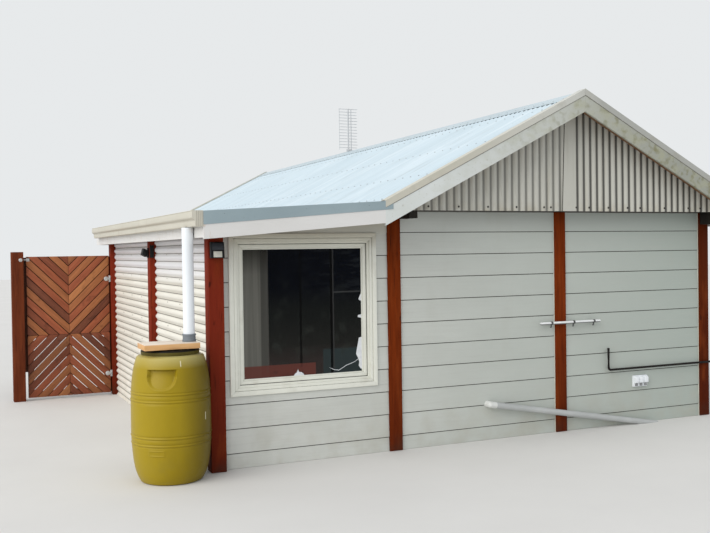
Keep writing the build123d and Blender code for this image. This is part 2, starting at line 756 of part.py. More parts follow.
# Fittings on the front wall
rail_place = Pos(rail_left + rail_length / 2, front - rail_out, rail_height) * Rot(0, 90, 0)
rail = rail_place * Cylinder(rail_radius, rail_length)
half_clip = rail_clip / 2
for x in rail_clips:
    rail += block(x - half_clip, x + half_clip, front - rail_out, front, rail_height - half_clip,
                  rail_height + half_clip)
save("wall_rail", rail)

run = bay_right + half_post - conduit_x
conduit_y = front - conduit_out
conduit_path = Polyline((conduit_x, conduit_y, conduit_top), (conduit_x, conduit_y, conduit_low),
                        (conduit_x + run, conduit_y, conduit_low))
conduit_start = Plane(conduit_path @ 0, z_dir=conduit_path % 0)
conduit = sweep(conduit_start * RegularPolygon(conduit_radius, conduit_sides), path=conduit_path,
                transition=Transition.RIGHT)
half_clip = conduit_clip / 2
for x in (conduit_x + run / 4, conduit_x + 3 * run / 4):
    conduit += block(x - half_clip, x + half_clip, conduit_y, front, conduit_low - half_clip,
                     conduit_low + half_clip)
save("conduit", conduit)
save("socket_box", block(socket_x - socket_width / 2, socket_x + socket_width / 2, front - socket_depth,
                         front, socket_middle - socket_height / 2, socket_middle + socket_height / 2))

waste_start = Vector(waste_left, front - waste_out, waste_left_height)
waste_end = Vector(waste_right, front - waste_out, 0)
waste_path = Line(waste_start, waste_end)
waste = sweep(Plane(waste_path @ 0, z_dir=waste_path % 0) * Circle(waste_radius), path=waste_path)
elbow_place = Pos(waste_left, front - waste_out / 2, waste_left_height) * Rot(90, 0, 0)
elbow = elbow_place * Cylinder(waste_radius, waste_out) + Pos(waste_start) * Sphere(waste_radius)
above_ground = block(waste_left - waste_out, waste_right + waste_out, front - 2 * waste_out, front,
                     0, 2 * waste_left_height)
save("waste_pipe", (waste + elbow) & above_ground)

# Lamps
lamp_left = corner_x - lamp_from_post
post_face = front - corner_proud
lamp_front = block(lamp_left, lamp_left + lamp_size, post_face - lamp_depth, post_face, lamp_low,
                   lamp_low + lamp_height)
lamp_side = block(hinge_face - side_lamp_depth, hinge_face, left_posts_y[0] - side_lamp_width / 2,
                  left_posts_y[0] + side_lamp_width / 2, lamp_low, lamp_low + side_lamp_height)
save("lamps", lamp_front, lamp_side)

# Aerial on the ridge
mast_foot = roof_top(0) + cap_rise
mast_top = mast_foot + aerial_mast_height
half_mast = aerial_mast / 2
half_rod = aerial_rod / 2
aerial = block(-half_mast, half_mast, aerial_y - half_mast, aerial_y + half_mast, mast_foot, mast_top)
rod_spacing = aerial_height / (aerial_rods - 1)
for k in range(aerial_rods):
    z = mast_top - aerial_rod - k * rod_spacing
    aerial += block(-aerial_width / 2, aerial_width / 2, aerial_y - half_rod, aerial_y + half_rod,
                    z - half_rod, z + half_rod)
save("aerial", aerial)
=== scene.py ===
"""Looks of the weatherboard bungalow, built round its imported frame. Metres; +Y runs into the building."""
import random
from math import atan2, cos, hypot, pi, radians, sin

import bmesh
import bpy
from bmesh.types import BMEdge, BMFace, BMVert
from mathutils import Matrix, Vector


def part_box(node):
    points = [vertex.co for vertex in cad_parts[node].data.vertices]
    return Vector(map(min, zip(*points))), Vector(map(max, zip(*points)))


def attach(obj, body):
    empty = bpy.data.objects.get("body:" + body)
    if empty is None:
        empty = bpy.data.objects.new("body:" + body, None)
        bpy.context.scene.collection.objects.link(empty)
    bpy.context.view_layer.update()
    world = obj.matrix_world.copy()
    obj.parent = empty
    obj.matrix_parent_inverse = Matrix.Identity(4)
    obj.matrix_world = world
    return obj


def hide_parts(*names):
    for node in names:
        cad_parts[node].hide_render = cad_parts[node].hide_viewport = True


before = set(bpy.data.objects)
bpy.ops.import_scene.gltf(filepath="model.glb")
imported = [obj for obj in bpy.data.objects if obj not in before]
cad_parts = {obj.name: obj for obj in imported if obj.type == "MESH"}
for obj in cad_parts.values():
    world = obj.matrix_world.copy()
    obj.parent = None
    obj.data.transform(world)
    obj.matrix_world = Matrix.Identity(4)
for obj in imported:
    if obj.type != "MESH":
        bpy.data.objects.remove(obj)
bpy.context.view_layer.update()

# Camera. It stands left of the building's near corner, at eye height, and looks in and to the right
# along the front wall. The angles and the lens come from the fit to the photograph's level lines.
yaw, pitch, roll = 0.4265, -0.0174, -0.0142
forward = Vector((sin(yaw) * cos(pitch), cos(yaw) * cos(pitch), sin(pitch)))
level = Vector((cos(yaw), -sin(yaw), 0))
above = level.cross(forward)
right = level * cos(roll) + above * sin(roll)
up = above * cos(roll) - level * sin(roll)
camera = bpy.data.objects.new("camera", bpy.data.cameras.new("camera"))
camera.data.lens = 46.28
camera.data.sensor_width = 36
camera.matrix_world = Matrix((right, up, -forward)).transposed().to_4x4()
camera.location = (-5.393, -11.255, 1.769)
scene = bpy.context.scene
scene.collection.objects.link(camera)
scene.camera = camera

# Light and floor. Soft light from an overcast sky with a broad, weak sun from the left, on a
# plain pale floor. The camera, metal and glass see one plain tone above the floor.
scene.view_settings.view_transform = "Standard"
world = bpy.data.worlds.new("overcast")
scene.world = world
world.use_nodes = True


def add_node(tree, kind, *inputs, **settings):
    """A shader node with its settings; each input that is named gets a value or a link from a socket."""
    node = tree.nodes.new("ShaderNode" + kind)
    for name, value in settings.items():
        setattr(node, name, value)
    for name, value in inputs:
        if isinstance(value, bpy.types.NodeSocket):
            tree.links.new(value, node.inputs[name])
        else:
            node.inputs[name].default_value = value
    return node


sky = world.node_tree.nodes["Background"]
sky.inputs["Color"].default_value = (0.93, 0.96, 1.0, 1)
sky.inputs["Strength"].default_value = 0.74
backdrop = add_node(world.node_tree, "Background", ("Color", (0.80, 0.82, 0.83, 1)))
rays = add_node(world.node_tree, "LightPath")
plain = rays.outputs["Is Camera Ray"]
for kind in ("Is Glossy Ray", "Is Transmission Ray"):
    plain = add_node(world.node_tree, "Math", (0, plain), (1, rays.outputs[kind]),
                     operation="MAXIMUM").outputs[0]
choice = add_node(world.node_tree, "MixShader", (0, plain), (1, sky.outputs[0]), (2, backdrop.outputs[0]))
world.node_tree.links.new(choice.outputs[0], world.node_tree.nodes["World Output"].inputs[0])
sun = bpy.data.objects.new("sun", bpy.data.lights.new("sun", "SUN"))
sun.data.energy = 2.05
sun.data.angle = radians(55)
sun.data.color = (1.0, 0.98, 0.94)
sun.rotation_euler = Vector((0.80, 0.30, -0.55)).to_track_quat("-Z", "Y").to_euler()
scene.collection.objects.link(sun)


def noise(tree, size, detail, stretch, roughness=0.5):
    """A noise in the object's own coordinates, stretched."""
    own = add_node(tree, "TexCoord").outputs["Object"]
    place = add_node(tree, "Mapping", ("Vector", own), ("Scale", stretch)).outputs[0]
    return add_node(tree, "TexNoise", ("Vector", place), ("Scale", size), ("Detail", detail),
                    ("Roughness", roughness)).outputs["Fac"]


def surface(name, pale, deep, size=3.0, stretch=(1, 1, 1), rough=(0.5, 0.65), bump=0.15, fine=140.0,
            sheen=0.3):
    """A painted or sawn surface: two tones in a broad noise, with a finer noise for its bump and gloss."""
    material = bpy.data.materials.new(name)
    material.use_nodes = True
    tree = material.node_tree
    shader = tree.nodes["Principled BSDF"]
    shader.inputs["Specular IOR Level"].default_value = sheen
    ramp = add_node(tree, "ValToRGB", ("Fac", noise(tree, size, 7, stretch, 0.62)))
    for stop, position, tone in zip(ramp.color_ramp.elements, (0.34, 0.66), (deep, pale)):
        stop.position, stop.color = position, (*tone, 1)
    small = noise(tree, fine, 4, stretch)
    gloss = add_node(tree, "MapRange", ("Value", small), ("To Min", rough[0]), ("To Max", rough[1]))
    relief = add_node(tree, "Bump", ("Height", small), ("Strength", bump), ("Distance", 0.002))
    for socket, source in (("Base Color", ramp), ("Roughness", gloss), ("Normal", relief)):
        tree.links.new(source.outputs[0], shader.inputs[socket])
    return material


def fade(tree, axis, full, none):
    """A mask that is 1 at one place along X, Y or Z and falls to 0 at another."""
    split = add_node(tree, "SeparateXYZ", (0, add_node(tree, "TexCoord").outputs["Object"]))
    along = split.outputs["XYZ".index(axis)]
    return add_node(tree, "MapRange", ("Value", along), ("From Min", none), ("From Max", full)).outputs[0]


def patches(tree, size, low, high, stretch=(1, 1, 1)):
    """A mask that is 1 where a noise is above high and 0 where it is below low."""
    spots = noise(tree, size, 6, stretch)
    return add_node(tree, "MapRange", ("Value", spots), ("From Min", low), ("From Max", high)).outputs[0]


def coat(material, *coats):
    """Lays coats over a surface. A coat is a colour, its amount and masks, and shows where all masks are 1:
    fades, which start with their axis, and patches, which start with the size of their noise."""
    tree = material.node_tree
    base = tree.nodes["Principled BSDF"].inputs["Base Color"]
    for colour, amount, *masks in coats:
        for mask in masks:
            cover = fade(tree, *mask) if isinstance(mask[0], str) else patches(tree, *mask)
            amount = add_node(tree, "Math", (0, cover), (1, amount), operation="MULTIPLY").outputs[0]
        mixed = add_node(tree, "Mix", (0, amount), ("A", base.links[0].from_socket), ("B", (*colour, 1)),
                         data_type="RGBA")
        tree.links.new(mixed.outputs["Result"], base)


floor_finish = surface("floor_finish", (0.72, 0.71, 0.69), (0.69, 0.68, 0.66), 0.6, rough=(0.8, 0.9),
                       bump=0.05)
ground = bmesh.new()
bmesh.ops.create_grid(ground, x_segments=2, y_segments=2, size=60, matrix=Matrix.Translation((0, 0, -0.001)))
floor = bpy.data.objects.new("floor", bpy.data.meshes.new("floor"))
ground.to_mesh(floor.data)
floor.data.materials.append(floor_finish)
scene.collection.objects.link(floor)

# Boarded walls. Painted boards lap each other at 200 mm, with a dark strip in the gap under each as
# painted shade; the walls' cores carry them and show only inside the rooms.
paint = surface("board_paint", (0.635, 0.645, 0.605), (0.585, 0.595, 0.555), 1.4, (1, 1, 2.2), (0.5, 0.66),
                0.10)
# Painted shade: the boards grow darker and greener towards the right-hand end, and darker and warmer at the
# top of the window bay under the lean-to's fascia.
coat(paint,
     ((0.385, 0.435, 0.395), 1.0, ("X", 2.0, -2.6)),
     ((0.52, 0.49, 0.39), 0.7, ("Z", 2.00, 1.84), ("X", -1.84, -1.80)),
     ((0.42, 0.395, 0.32), 0.45, ("Z", 0.0, 0.5), (5, 0.44, 0.68)),
     ((0.44, 0.44, 0.38), 0.4, (2.2, 0.55, 0.75, (1, 1, 0.25))),
     ((0.47, 0.48, 0.44), 0.28, (9, 0.48, 0.72, (0.22, 0.3, 7))))
# A dark strip in each gap between boards and between window trims: painted shade.
gap_shade = surface("shaded_board_gap", (0.075, 0.075, 0.065), (0.05, 0.05, 0.045), rough=(0.8, 0.9))
board_cover, shaded_board_gap, first_line = 0.2, 0.007, 0.12
front, rear, leanto_rear = -4.075, 4.075, 0.501
board_left, board_right, corner_x = -1.7995, 1.8875, -3.383
wing_posts, half_post, post_back = (-1.762, 0.022, 1.850), 0.0625, 0.100
side_post_y, gable_foot = 1.3458, 2.11
slope, ridge, eave_run, roof_thickness = 0.5065, 3.195, 2.05, 0.07
leanto_slope, leanto_eave, leanto_edge, leanto_thickness = 0.0568, 2.078, -3.563, 0.06


def picked(made, kind):
    """The vertices, edges or faces among what an operator made."""
    return [part for part in made if isinstance(part, kind)]


def mark(faces, index):
    """Gives faces the material of that number on their piece."""
    for face in faces:
        face.material_index = index


def prism(bm, outline, along, index=0, bevel=0.0):
    """A flat outline carried along a vector into a solid, with its edges eased."""
    start = bm.faces.new([bm.verts.new(p) for p in outline])
    made = bmesh.ops.extrude_face_region(bm, geom=[start], use_keep_orig=True)["geom"]
    bmesh.ops.translate(bm, verts=picked(made, BMVert), vec=along)
    faces = list({face for vert in start.verts for face in vert.link_faces} | set(picked(made, BMFace)))
    mark(faces, index)
    if bevel:
        bmesh.ops.recalc_face_normals(bm, faces=faces)
        edges = list({edge for face in faces for edge in face.edges})
        made = bmesh.ops.bevel(bm, geom=edges, offset=bevel, segments=2, affect="EDGES", profile=0.5,
                               material=-1)
        mark(made["faces"], index)


def box(bm, low, high, index=0, bevel=0.0):
    """A block between two corners."""
    (x0, y0, z0), (x1, y1, z1) = low, high
    prism(bm, [(x0, y0, z0), (x1, y0, z0), (x1, y1, z0), (x0, y1, z0)], (0, 0, z1 - z0), index, bevel)


def facing(y, *points):
    """An outline that faces along Y at a depth, from its points' x and z."""
    return [(x, y, z) for x, z in points]


def finish(name, bm, finishes, stands_for=(), body="house", angle=35):
    """Makes the object of a mesh, with its materials, body and the nodes that it stands for."""
    bmesh.ops.recalc_face_normals(bm, faces=bm.faces)
    mesh = bpy.data.meshes.new(name)
    bm.to_mesh(mesh)
    bm.free()
    for material in finishes:
        mesh.materials.append(material)
    mesh.shade_smooth()
    mesh.set_sharp_from_angle(angle=radians(angle))
    piece = bpy.data.objects.new(name, mesh)
    scene.collection.objects.link(piece)
    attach(piece, body)
    if stands_for:
        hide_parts(*stands_for)


def dress(material, *nodes):
    """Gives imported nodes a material."""
    for node in nodes:
        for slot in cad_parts[node].material_slots:
            slot.material = material


def boards(bm, start, end, out, low, high):
    """Lapped boards on a wall face from start to end, between two heights, each with a dark strip in the gap
    below it as painted shade.
    """
    start, end, out = Vector((*start, 0)), Vector((*end, 0)), Vector((*out, 0))
    bottom = first_line - board_cover
    while bottom < high:
        z0, z1 = max(bottom, low), min(bottom + board_cover, high)
        if z1 - z0 > 0.002:
            foot = z0 + (shaded_board_gap if z0 == bottom else 0)
            proud, lap = [0.009 - 0.006 * (z - bottom) / board_cover for z in (foot, z1)]
            sections = [[(-0.002, foot), (proud - 0.0015, foot), (proud, foot + 0.002), (lap, z1),
                         (-0.002, z1)]]
            # Below the board, a dark strip in the gap: painted shade.
            if z0 == bottom:
                sections += [[(-0.002, z0 - 0.002), (0.0005, z0 - 0.002), (0.0005, foot + 0.001),
                              (-0.002, foot + 0.001)]]
            for index, section in enumerate(sections):
                prism(bm, [start + out * d + Vector((0, 0, z)) for d, z in section], end - start, index)
        bottom += board_cover


def leanto_top(x):
    return leanto_eave + leanto_slope * (x - leanto_edge)


def roof_top(x):
    return ridge - slope * abs(x)


def cut_under(bm, x, z, rise):
    """Takes away all that is above a plane that passes through x and z and rises along +X."""
    bmesh.ops.bisect_plane(bm, geom=bm.verts[:] + bm.edges[:] + bm.faces[:], plane_co=(x, 0, z),
                           plane_no=(-rise, 0, 1), clear_outer=True)


window_x, window_z, window_half = -2.5995, 1.2555, 0.6645
window_low, window_high = window_z - window_half, window_z + window_half
bay_left, bay_right = corner_x + half_post, wing_posts[0] - half_post
boards_top = gable_foot - 0.004
bm = bmesh.new()
for x0, x1, z0, z1 in ((bay_left, bay_right, 0, window_low),
                       (bay_left, window_x - window_half, window_low, window_high),
                       (window_x + window_half, bay_right, window_low, window_high),
                       (bay_left, bay_right, window_high, 2.2)):
    boards(bm, (x0, front), (x1, front), (0, -1), z0, z1)
cut_under(bm, bay_left, leanto_top(bay_left) - 0.062, leanto_slope)
finish("boards_window_bay", bm, [paint, gap_shade])

trim_paint = surface("trim_paint", (0.70, 0.68, 0.59), (0.62, 0.60, 0.51), 4, rough=(0.5, 0.6))
bays = [(x0 + half_post, x1 - half_post) for x0, x1 in zip(wing_posts, wing_posts[1:])]
bm = bmesh.new()
for x0, x1 in bays:
    boards(bm, (x0, front), (x1, front), (0, -1), 0, boards_top)
    for x, trim in ((x0, 0.004), (x1, -0.004)):
        prism(bm,
              [(x, front, 0), (x + trim, front, 0), (x + trim, front - 0.0105, 0), (x, front - 0.0105, 0)],
              (0, 0, gable_foot - 0.005), 2)
finish("boards_gable_front", bm, [paint, gap_shade, trim_paint])

bm = bmesh.new()
for x0, x1 in bays:
    boards(bm, (x1, rear), (x0, rear), (0, 1), 0, boards_top)
stops = [front + post_back, rear - post_back]
stops += [side * side_post_y + half for side in (-1, 1) for half in (-half_post, half_post)]
for y0, y1 in zip(sorted(stops)[::2], sorted(stops)[1::2]):
    boards(bm, (board_right, y0), (board_right, y1), (1, 0), 0, roof_top(board_right) - 0.075)
door_low, door_high = leanto_rear + 0.7, leanto_rear + 1.6
door_top, yard_top = roof_top(board_left) - roof_thickness - 0.131, roof_top(board_left) - 0.075
for y0, y1, z0, z1 in ((door_low, leanto_rear, 0, yard_top), (rear - post_back, door_high, 0, yard_top),
                       (door_high, door_low, 0, 0.08), (door_high, door_low, door_top, yard_top)):
    boards(bm, (board_left, y0), (board_left, y1), (-1, 0), z0, z1)
finish("boards_hidden_sides", bm, [paint, gap_shade])

bm = bmesh.new()
boards(bm, (board_left - 0.01, leanto_rear), (bay_left, leanto_rear), (0, 1), 0, 2.2)
cut_under(bm, corner_x, leanto_top(corner_x) - 0.062, leanto_slope)
finish("boards_leanto_rear", bm, [paint, gap_shade])
dress(surface("room_lining", (0.20, 0.19, 0.17), (0.17, 0.16, 0.145), 2.0, rough=(0.8, 0.9)),
      "wall_front_window", "wall_front_gable", "wall_rear", "wall_right", "wall_yard", "wall_leanto_rear",
      "wall_left")
dress(surface("floor_slab", (0.30, 0.29, 0.27), (0.25, 0.24, 0.22), 3, rough=(0.7, 0.85), bump=0.3),
      "floor_main", "floor_leanto")

# Posts. Sawn hardwood, 125 mm square, in a red-brown stain with a long upright grain, fine drying
# checks and a greyer foot. The latch post of the gate is a heavier one of the same kind.
stain = surface("post_stain", (0.215, 0.034, 0.004), (0.125, 0.018, 0.002), 2.6, (9, 9, 0.7), (0.55, 0.75),
                0.35, 60, 0.05)
coat(stain,
     ((0.215, 0.024, 0.013), 0.75, ("X", -3.3, -3.0)),
     ((0.060, 0.010, 0.002), 0.75, ("X", 1.75, 1.6)),
     ((0.080, 0.011, 0.003), 0.6, ("Z", 0.1, 1.3)),
     ((0.045, 0.008, 0.003), 0.75, (7, 0.60, 0.68, (16, 16, 0.5))),
     ((0.245, 0.050, 0.010), 0.6, (3, 0.54, 0.72, (3, 3, 0.6))),
     ((0.030, 0.006, 0.003), 0.7, (9, 0.66, 0.72, (1, 1, 0.6))),
     ((0.060, 0.028, 0.018), 0.7, ("Z", 0.0, 0.16), (9, 0.35, 0.6)))
wing_post_y, left_posts = -4.0375, (-4.0815, -1.8535, 0.5075)
post_places = [(x, y, gable_foot, 0) for x in wing_posts for y in (wing_post_y, -wing_post_y)]
post_places += [(wing_posts[2], y, roof_top(wing_posts[2]) - roof_thickness, -slope)
                for y in (wing_post_y / 3, -wing_post_y / 3)]
post_places += [(corner_x, y, leanto_top(corner_x) - leanto_thickness, leanto_slope) for y in left_posts]
bm = bmesh.new()
for x, y, top, rise in post_places:
    left, right = x - half_post, x + half_post
    outline = facing(y - half_post, (left, 0), (right, 0), (right, top + rise * half_post),
                     (left, top - rise * half_post))
    prism(bm, outline, (0, 2 * half_post, 0), 0, 0.004)
finish("stained_posts", bm, [stain],
       ("posts_front", "posts_left", "posts_right", "posts_rear"))
latch_stain = surface("latch_post_stain", (0.175, 0.042, 0.016), (0.100, 0.022, 0.009), 2.4, (8, 8, 0.6),
                      (0.55, 0.75), 0.35, 60, 0.05)
coat(latch_stain, ((0.06, 0.016, 0.010), 0.7, (7, 0.58, 0.68, (14, 14, 0.5))))
low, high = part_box("gate_post")
latch_post_right = high.x
bm = bmesh.new()
box(bm, low, high, 0, 0.005)
finish("latch_post", bm, [latch_stain], ("gate_post",))

# Gable sheeting. Ribbed steel sheet stands upright on both gables, folded from round ribs at 76 mm,
# with a flat strip beside the middle post that leans a little, and screws along its foot.
shade = surface("sheet_shadow", (0.04, 0.038, 0.034), (0.03, 0.028, 0.025), rough=(0.85, 0.9))
screw_steel = surface("screw_steel", (0.055, 0.052, 0.048), (0.032, 0.030, 0.028), 30, rough=(0.4, 0.6))
rib_pitch, rib_depth, sheet_thickness = 0.0762, 0.017, 0.0012
gable_left, gable_right = wing_posts[0] - half_post, wing_posts[2] + half_post
strip_left, strip_right, strip_top, strip_lean = -0.078, 0.065, 3.1, 0.026
screwed_ribs = (4, 8, 12, 16, 20, 21, 24.8, 26.8, 29.8, 32.85, 34.9, 38.95, 43, 45.1, 48.1)


def wave(start, end, steps=12):
    """Places along a ribbed sheet with their depth below the crest; it starts and ends on a crest."""
    total = round((end - start) / rib_pitch) * steps
    places = []
    for k in range(total + 1):
        turn = cos(2 * pi * k / steps)
        depth = rib_depth * (0.5 - 0.5 * turn * (1.35 - 0.35 * turn * turn))
        places.append((start + (end - start) * k / total, depth))
    return places


def ribbon(bm, points, along, thickness=sheet_thickness):
    """A thin sheet: a line of points carried along a vector, then given its thickness."""
    verts = [bm.verts.new(p) for p in points]
    line = [bm.edges.new(pair) for pair in zip(verts, verts[1:])]
    made = bmesh.ops.extrude_edge_only(bm, edges=line)["geom"]
    bmesh.ops.translate(bm, verts=picked(made, BMVert), vec=along)
    faces = picked(made, BMFace)
    bmesh.ops.recalc_face_normals(bm, faces=faces)
    bmesh.ops.solidify(bm, geom=faces, thickness=thickness)


def turned_to(place, out):
    """The placing of a form that stands on a place and points out."""
    return Matrix.Translation(place) @ Vector(out).to_track_quat("Z", "Y").to_matrix().to_4x4()


def screws(bm, places, out, radius=0.0065, index=1):
    """Hexagon screw heads with a washer at each place, pointing out."""
    for place in places:
        for wide, narrow, depth, lift in ((1.35, 1.25, 0.0015, 0), (0.85, 0.7, 0.005, 0.003)):
            spot = turned_to(Vector(place) + Vector(out).normalized() * lift, out)
            made = bmesh.ops.create_cone(bm, segments=6, radius1=wide * radius, radius2=narrow * radius,
                                         depth=depth, cap_ends=True, matrix=spot)
            for vert in made["verts"]:
                mark(vert.link_faces, index)


for name, node, wall_y, away in (("gable_sheet_front", "gable_front", front, -1),
                                 ("gable_sheet_rear", "gable_rear", rear, 1)):
    crest = wall_y + away * 0.2165
    # Painted shade darkens the hollows of the ribs, and more on the right half.
    hollow_shade = ("Y", crest - away * 0.0166, crest - away * 0.0115)
    gable_paint = surface(f"{name}_paint", (0.57, 0.565, 0.51), (0.52, 0.515, 0.46), 1.2, (2, 1, 0.4),
                          (0.45, 0.6), 0.06)
    coat(gable_paint,
         ((0.40, 0.37, 0.29), 0.35, (3.0, 0.55, 0.72, (6, 1, 0.5))),
         ((0.40, 0.36, 0.27), 0.5, ("Z", gable_foot, gable_foot + 0.10), (12, 0.4, 0.65)),
         ((0.06, 0.058, 0.052), 0.68, hollow_shade),
         ((0.07, 0.068, 0.062), 0.8, hollow_shade, ("X", 0.1, -0.1)))
    bm = bmesh.new()
    for x0, x1 in ((gable_left + 0.001, strip_left + 0.01), (strip_right - 0.01, gable_right - 0.001)):
        ribbon(bm, [(x, crest - away * depth, gable_foot) for x, depth in wave(x0, x1)], (0, 0, 1.1))
    strip_y = crest + away * 0.0012
    prism(bm, facing(strip_y, (strip_left - 0.012, gable_foot), (strip_right, gable_foot),
                     (strip_right, strip_top), (strip_left + strip_lean, strip_top)), (0, away * 0.0012, 0))
    prism(bm, facing(strip_y, (strip_left - 0.019, gable_foot), (strip_left - 0.012, gable_foot),
                     (strip_left + strip_lean, strip_top), (strip_left + strip_lean - 0.007, strip_top)),
          (0, away * 0.0010, 0), 2)
    y0, y1 = sorted((wall_y, wall_y + away * 0.196))
    box(bm, (gable_left + 0.003, y0, gable_foot + 0.004), (gable_right - 0.003, y1, 3.2), 2)
    for rise in (slope, -slope):
        cut_under(bm, 0, ridge - 0.071, rise)
    screws(bm,
           [(gable_left + rib_pitch * k, strip_y + away * 0.001, gable_foot + 0.035) for k in screwed_ribs],
           (0, away, 0), 0.0078)
    finish(name, bm, [gable_paint, screw_steel, shade], (node,), angle=50)

dress(surface("bearer_tar", (0.022, 0.018, 0.014), (0.013, 0.011, 0.009), 9, rough=(0.7, 0.85)),
      "bearer_ends")

# Left wall of the lean-to. Ribbed sheet lies on its side between the posts, off-white, a little
# dirty towards the ground, with painted shade in its hollows and a painted bluish sky reflection on
# its upper part, rows of screws and a scalloped edge against each post.
sheet_paint = surface("wall_sheet_paint", (0.81, 0.79, 0.72), (0.75, 0.73, 0.655), 1.6, (1, 0.5, 4),
                      (0.4, 0.55), 0.06)
# Painted light and shade: a bluish sky reflection above about 1.5 m, and shade in the hollows of the ribs.
coat(sheet_paint,
     ((0.55, 0.50, 0.42), 0.6, ("Z", 0.0, 0.4), (5, 0.42, 0.66)),
     ((0.62, 0.58, 0.50), 0.35, (2, 0.56, 0.74, (1, 0.4, 3))),
     ((0.77, 0.77, 0.81), 0.8, ("Z", 1.62, 1.48)),
     ((0.50, 0.46, 0.38), 0.25, ("X", -3.3795, -3.3865)))
sheet_screw = surface("sheet_screw_steel", (0.50, 0.48, 0.43), (0.42, 0.40, 0.36), 30, rough=(0.4, 0.6))
wall_x, sheet_foot, sheet_top = -3.396, 0.0005, 2.0275
bm = bmesh.new()
for y0, y1 in zip(left_posts, left_posts[1:]):
    y0, y1 = y0 + half_post, y1 - half_post
    ribbon(bm, [(wall_x + 0.0003 + depth, y0, z) for z, depth in wave(sheet_foot, sheet_top)],
           (0, y1 - y0, 0))
    columns = [y0 + 0.05 + (y1 - y0 - 0.1) * k / 4 for k in range(5)]
    screws(bm, [(wall_x, y, sheet_foot + rib_pitch * 1.0015 * n) for y in columns for n in range(2, 27, 3)],
           (-1, 0, 0), 0.005)
finish("left_wall_sheets", bm, [sheet_paint, sheet_screw], ("sheets_left",), angle=50)

# Roof sheets. Pale weathered steel over battens, with ribs running down each slope, laps every ten
# ribs, four rows of screws and a few grey specks. The lean-to's sheet has three rows of screws, no
# laps, and a strip that closes its rear edge.
roof_paint = surface("roof_paint", (0.575, 0.675, 0.735), (0.525, 0.625, 0.68), 1.0, (0.5, 3, 0.5),
                     (0.35, 0.5), 0.05)
coat(roof_paint,
     ((0.70, 0.775, 0.82), 0.5, (1.4, 0.50, 0.70, (0.7, 5, 0.7))),
     ((0.26, 0.37, 0.41), 0.92, ("X", -0.1, -1.7), ("X", 0.2, 0.1)),
     ((0.32, 0.34, 0.34), 0.6, (26, 0.70, 0.76)),
     ((0.42, 0.47, 0.48), 0.35, (2.0, 0.58, 0.72, (1, 9, 1))))
roof_screw = surface("roof_screw_steel", (0.42, 0.46, 0.48), (0.33, 0.36, 0.38), 30, rough=(0.4, 0.6))
battens = surface("roof_timber", (0.30, 0.20, 0.12), (0.22, 0.14, 0.08), 2, (2, 14, 2), (0.7, 0.8), 0.2)
sheet_front, sheet_rear = -4.503, 4.503
leanto_front, leanto_end = -4.505, 0.606


def rib_step(start, end):
    """The pitch at which whole ribs fill a sheet."""
    return (end - start) / round((end - start) / rib_pitch)


def band(top, x0, x1, upper, lower, y):
    """The outline of a strip that follows a roof line from x0 to x1, between two heights from it."""
    return facing(y, (x0, top(x0) + upper), (x1, top(x1) + upper), (x1, top(x1) + lower),
                  (x0, top(x0) + lower))


step = rib_step(sheet_front, sheet_rear)
for name, node, side in (("roof_sheets_left", "roof_main_left", -1),
                         ("roof_sheets_right", "roof_main_right", 1)):
    down_slope = (side * eave_run, 0, -slope * eave_run)
    bm = bmesh.new()
    ribbon(bm, [(0, y, ridge - 0.0005 - depth) for y, depth in wave(sheet_front, sheet_rear)], down_slope)
    for y in (sheet_front + step * k for k in range(10, 118, 10)):
        lap = [(0, y + along, ridge + lift) for along, lift in
               ((-0.024, -0.0125), (-0.014, -0.0022), (0.002, 0.0009), (0.016, -0.0028))]
        ribbon(bm, lap, down_slope, 0.001)
    spots = [(side * run, sheet_front + step * k, roof_top(run)) for run in (0.30, 0.92, 1.52, 1.96)
             for k in range(1, 118, 2)]
    screws(bm, spots, (side * slope, 0, 1))
    prism(bm, band(roof_top, 0, side * eave_run, -0.02, -roof_thickness, sheet_front),
          (0, sheet_rear - sheet_front, 0), 2)
    finish(name, bm, [roof_paint, roof_screw, battens], (node,), angle=50)

run = -eave_run - leanto_edge
bm = bmesh.new()
ribbon(bm, [(leanto_edge, y, leanto_eave - 0.0005 - depth) for y, depth in wave(leanto_front, leanto_end)],
       (run, 0, leanto_slope * run))
step = rib_step(leanto_front, leanto_end)
spots = [(x, leanto_front + step * k, leanto_top(x)) for x in (-3.45, -2.85, -2.25) for k in range(1, 67, 2)]
screws(bm, spots, (-leanto_slope, 0, 1))
prism(bm, band(leanto_top, leanto_edge, -eave_run, -0.02, -leanto_thickness, leanto_front),
      (0, leanto_end - leanto_front, 0), 2)
prism(bm, band(leanto_top, leanto_edge, -eave_run, 0.001, -0.062, leanto_end), (0, sheet_thickness, 0))
finish("leanto_roof_sheets", bm, [roof_paint, roof_screw, battens], ("roof_leanto",), angle=50)

# Ridge cap. A rolled metal cap over both slopes, with hemmed edges that rest on the ribs and a dark
# strip under each edge that is painted shade in the hollows below it, and a screw at every other rib.
cap_paint = surface("cap_paint", (0.50, 0.585, 0.63), (0.445, 0.53, 0.575), 1.4, (3, 0.6, 3), (0.35, 0.5),
                    0.05)
coat(cap_paint, ((0.36, 0.38, 0.36), 0.5, (8, 0.58, 0.74, (1, 0.5, 1))))
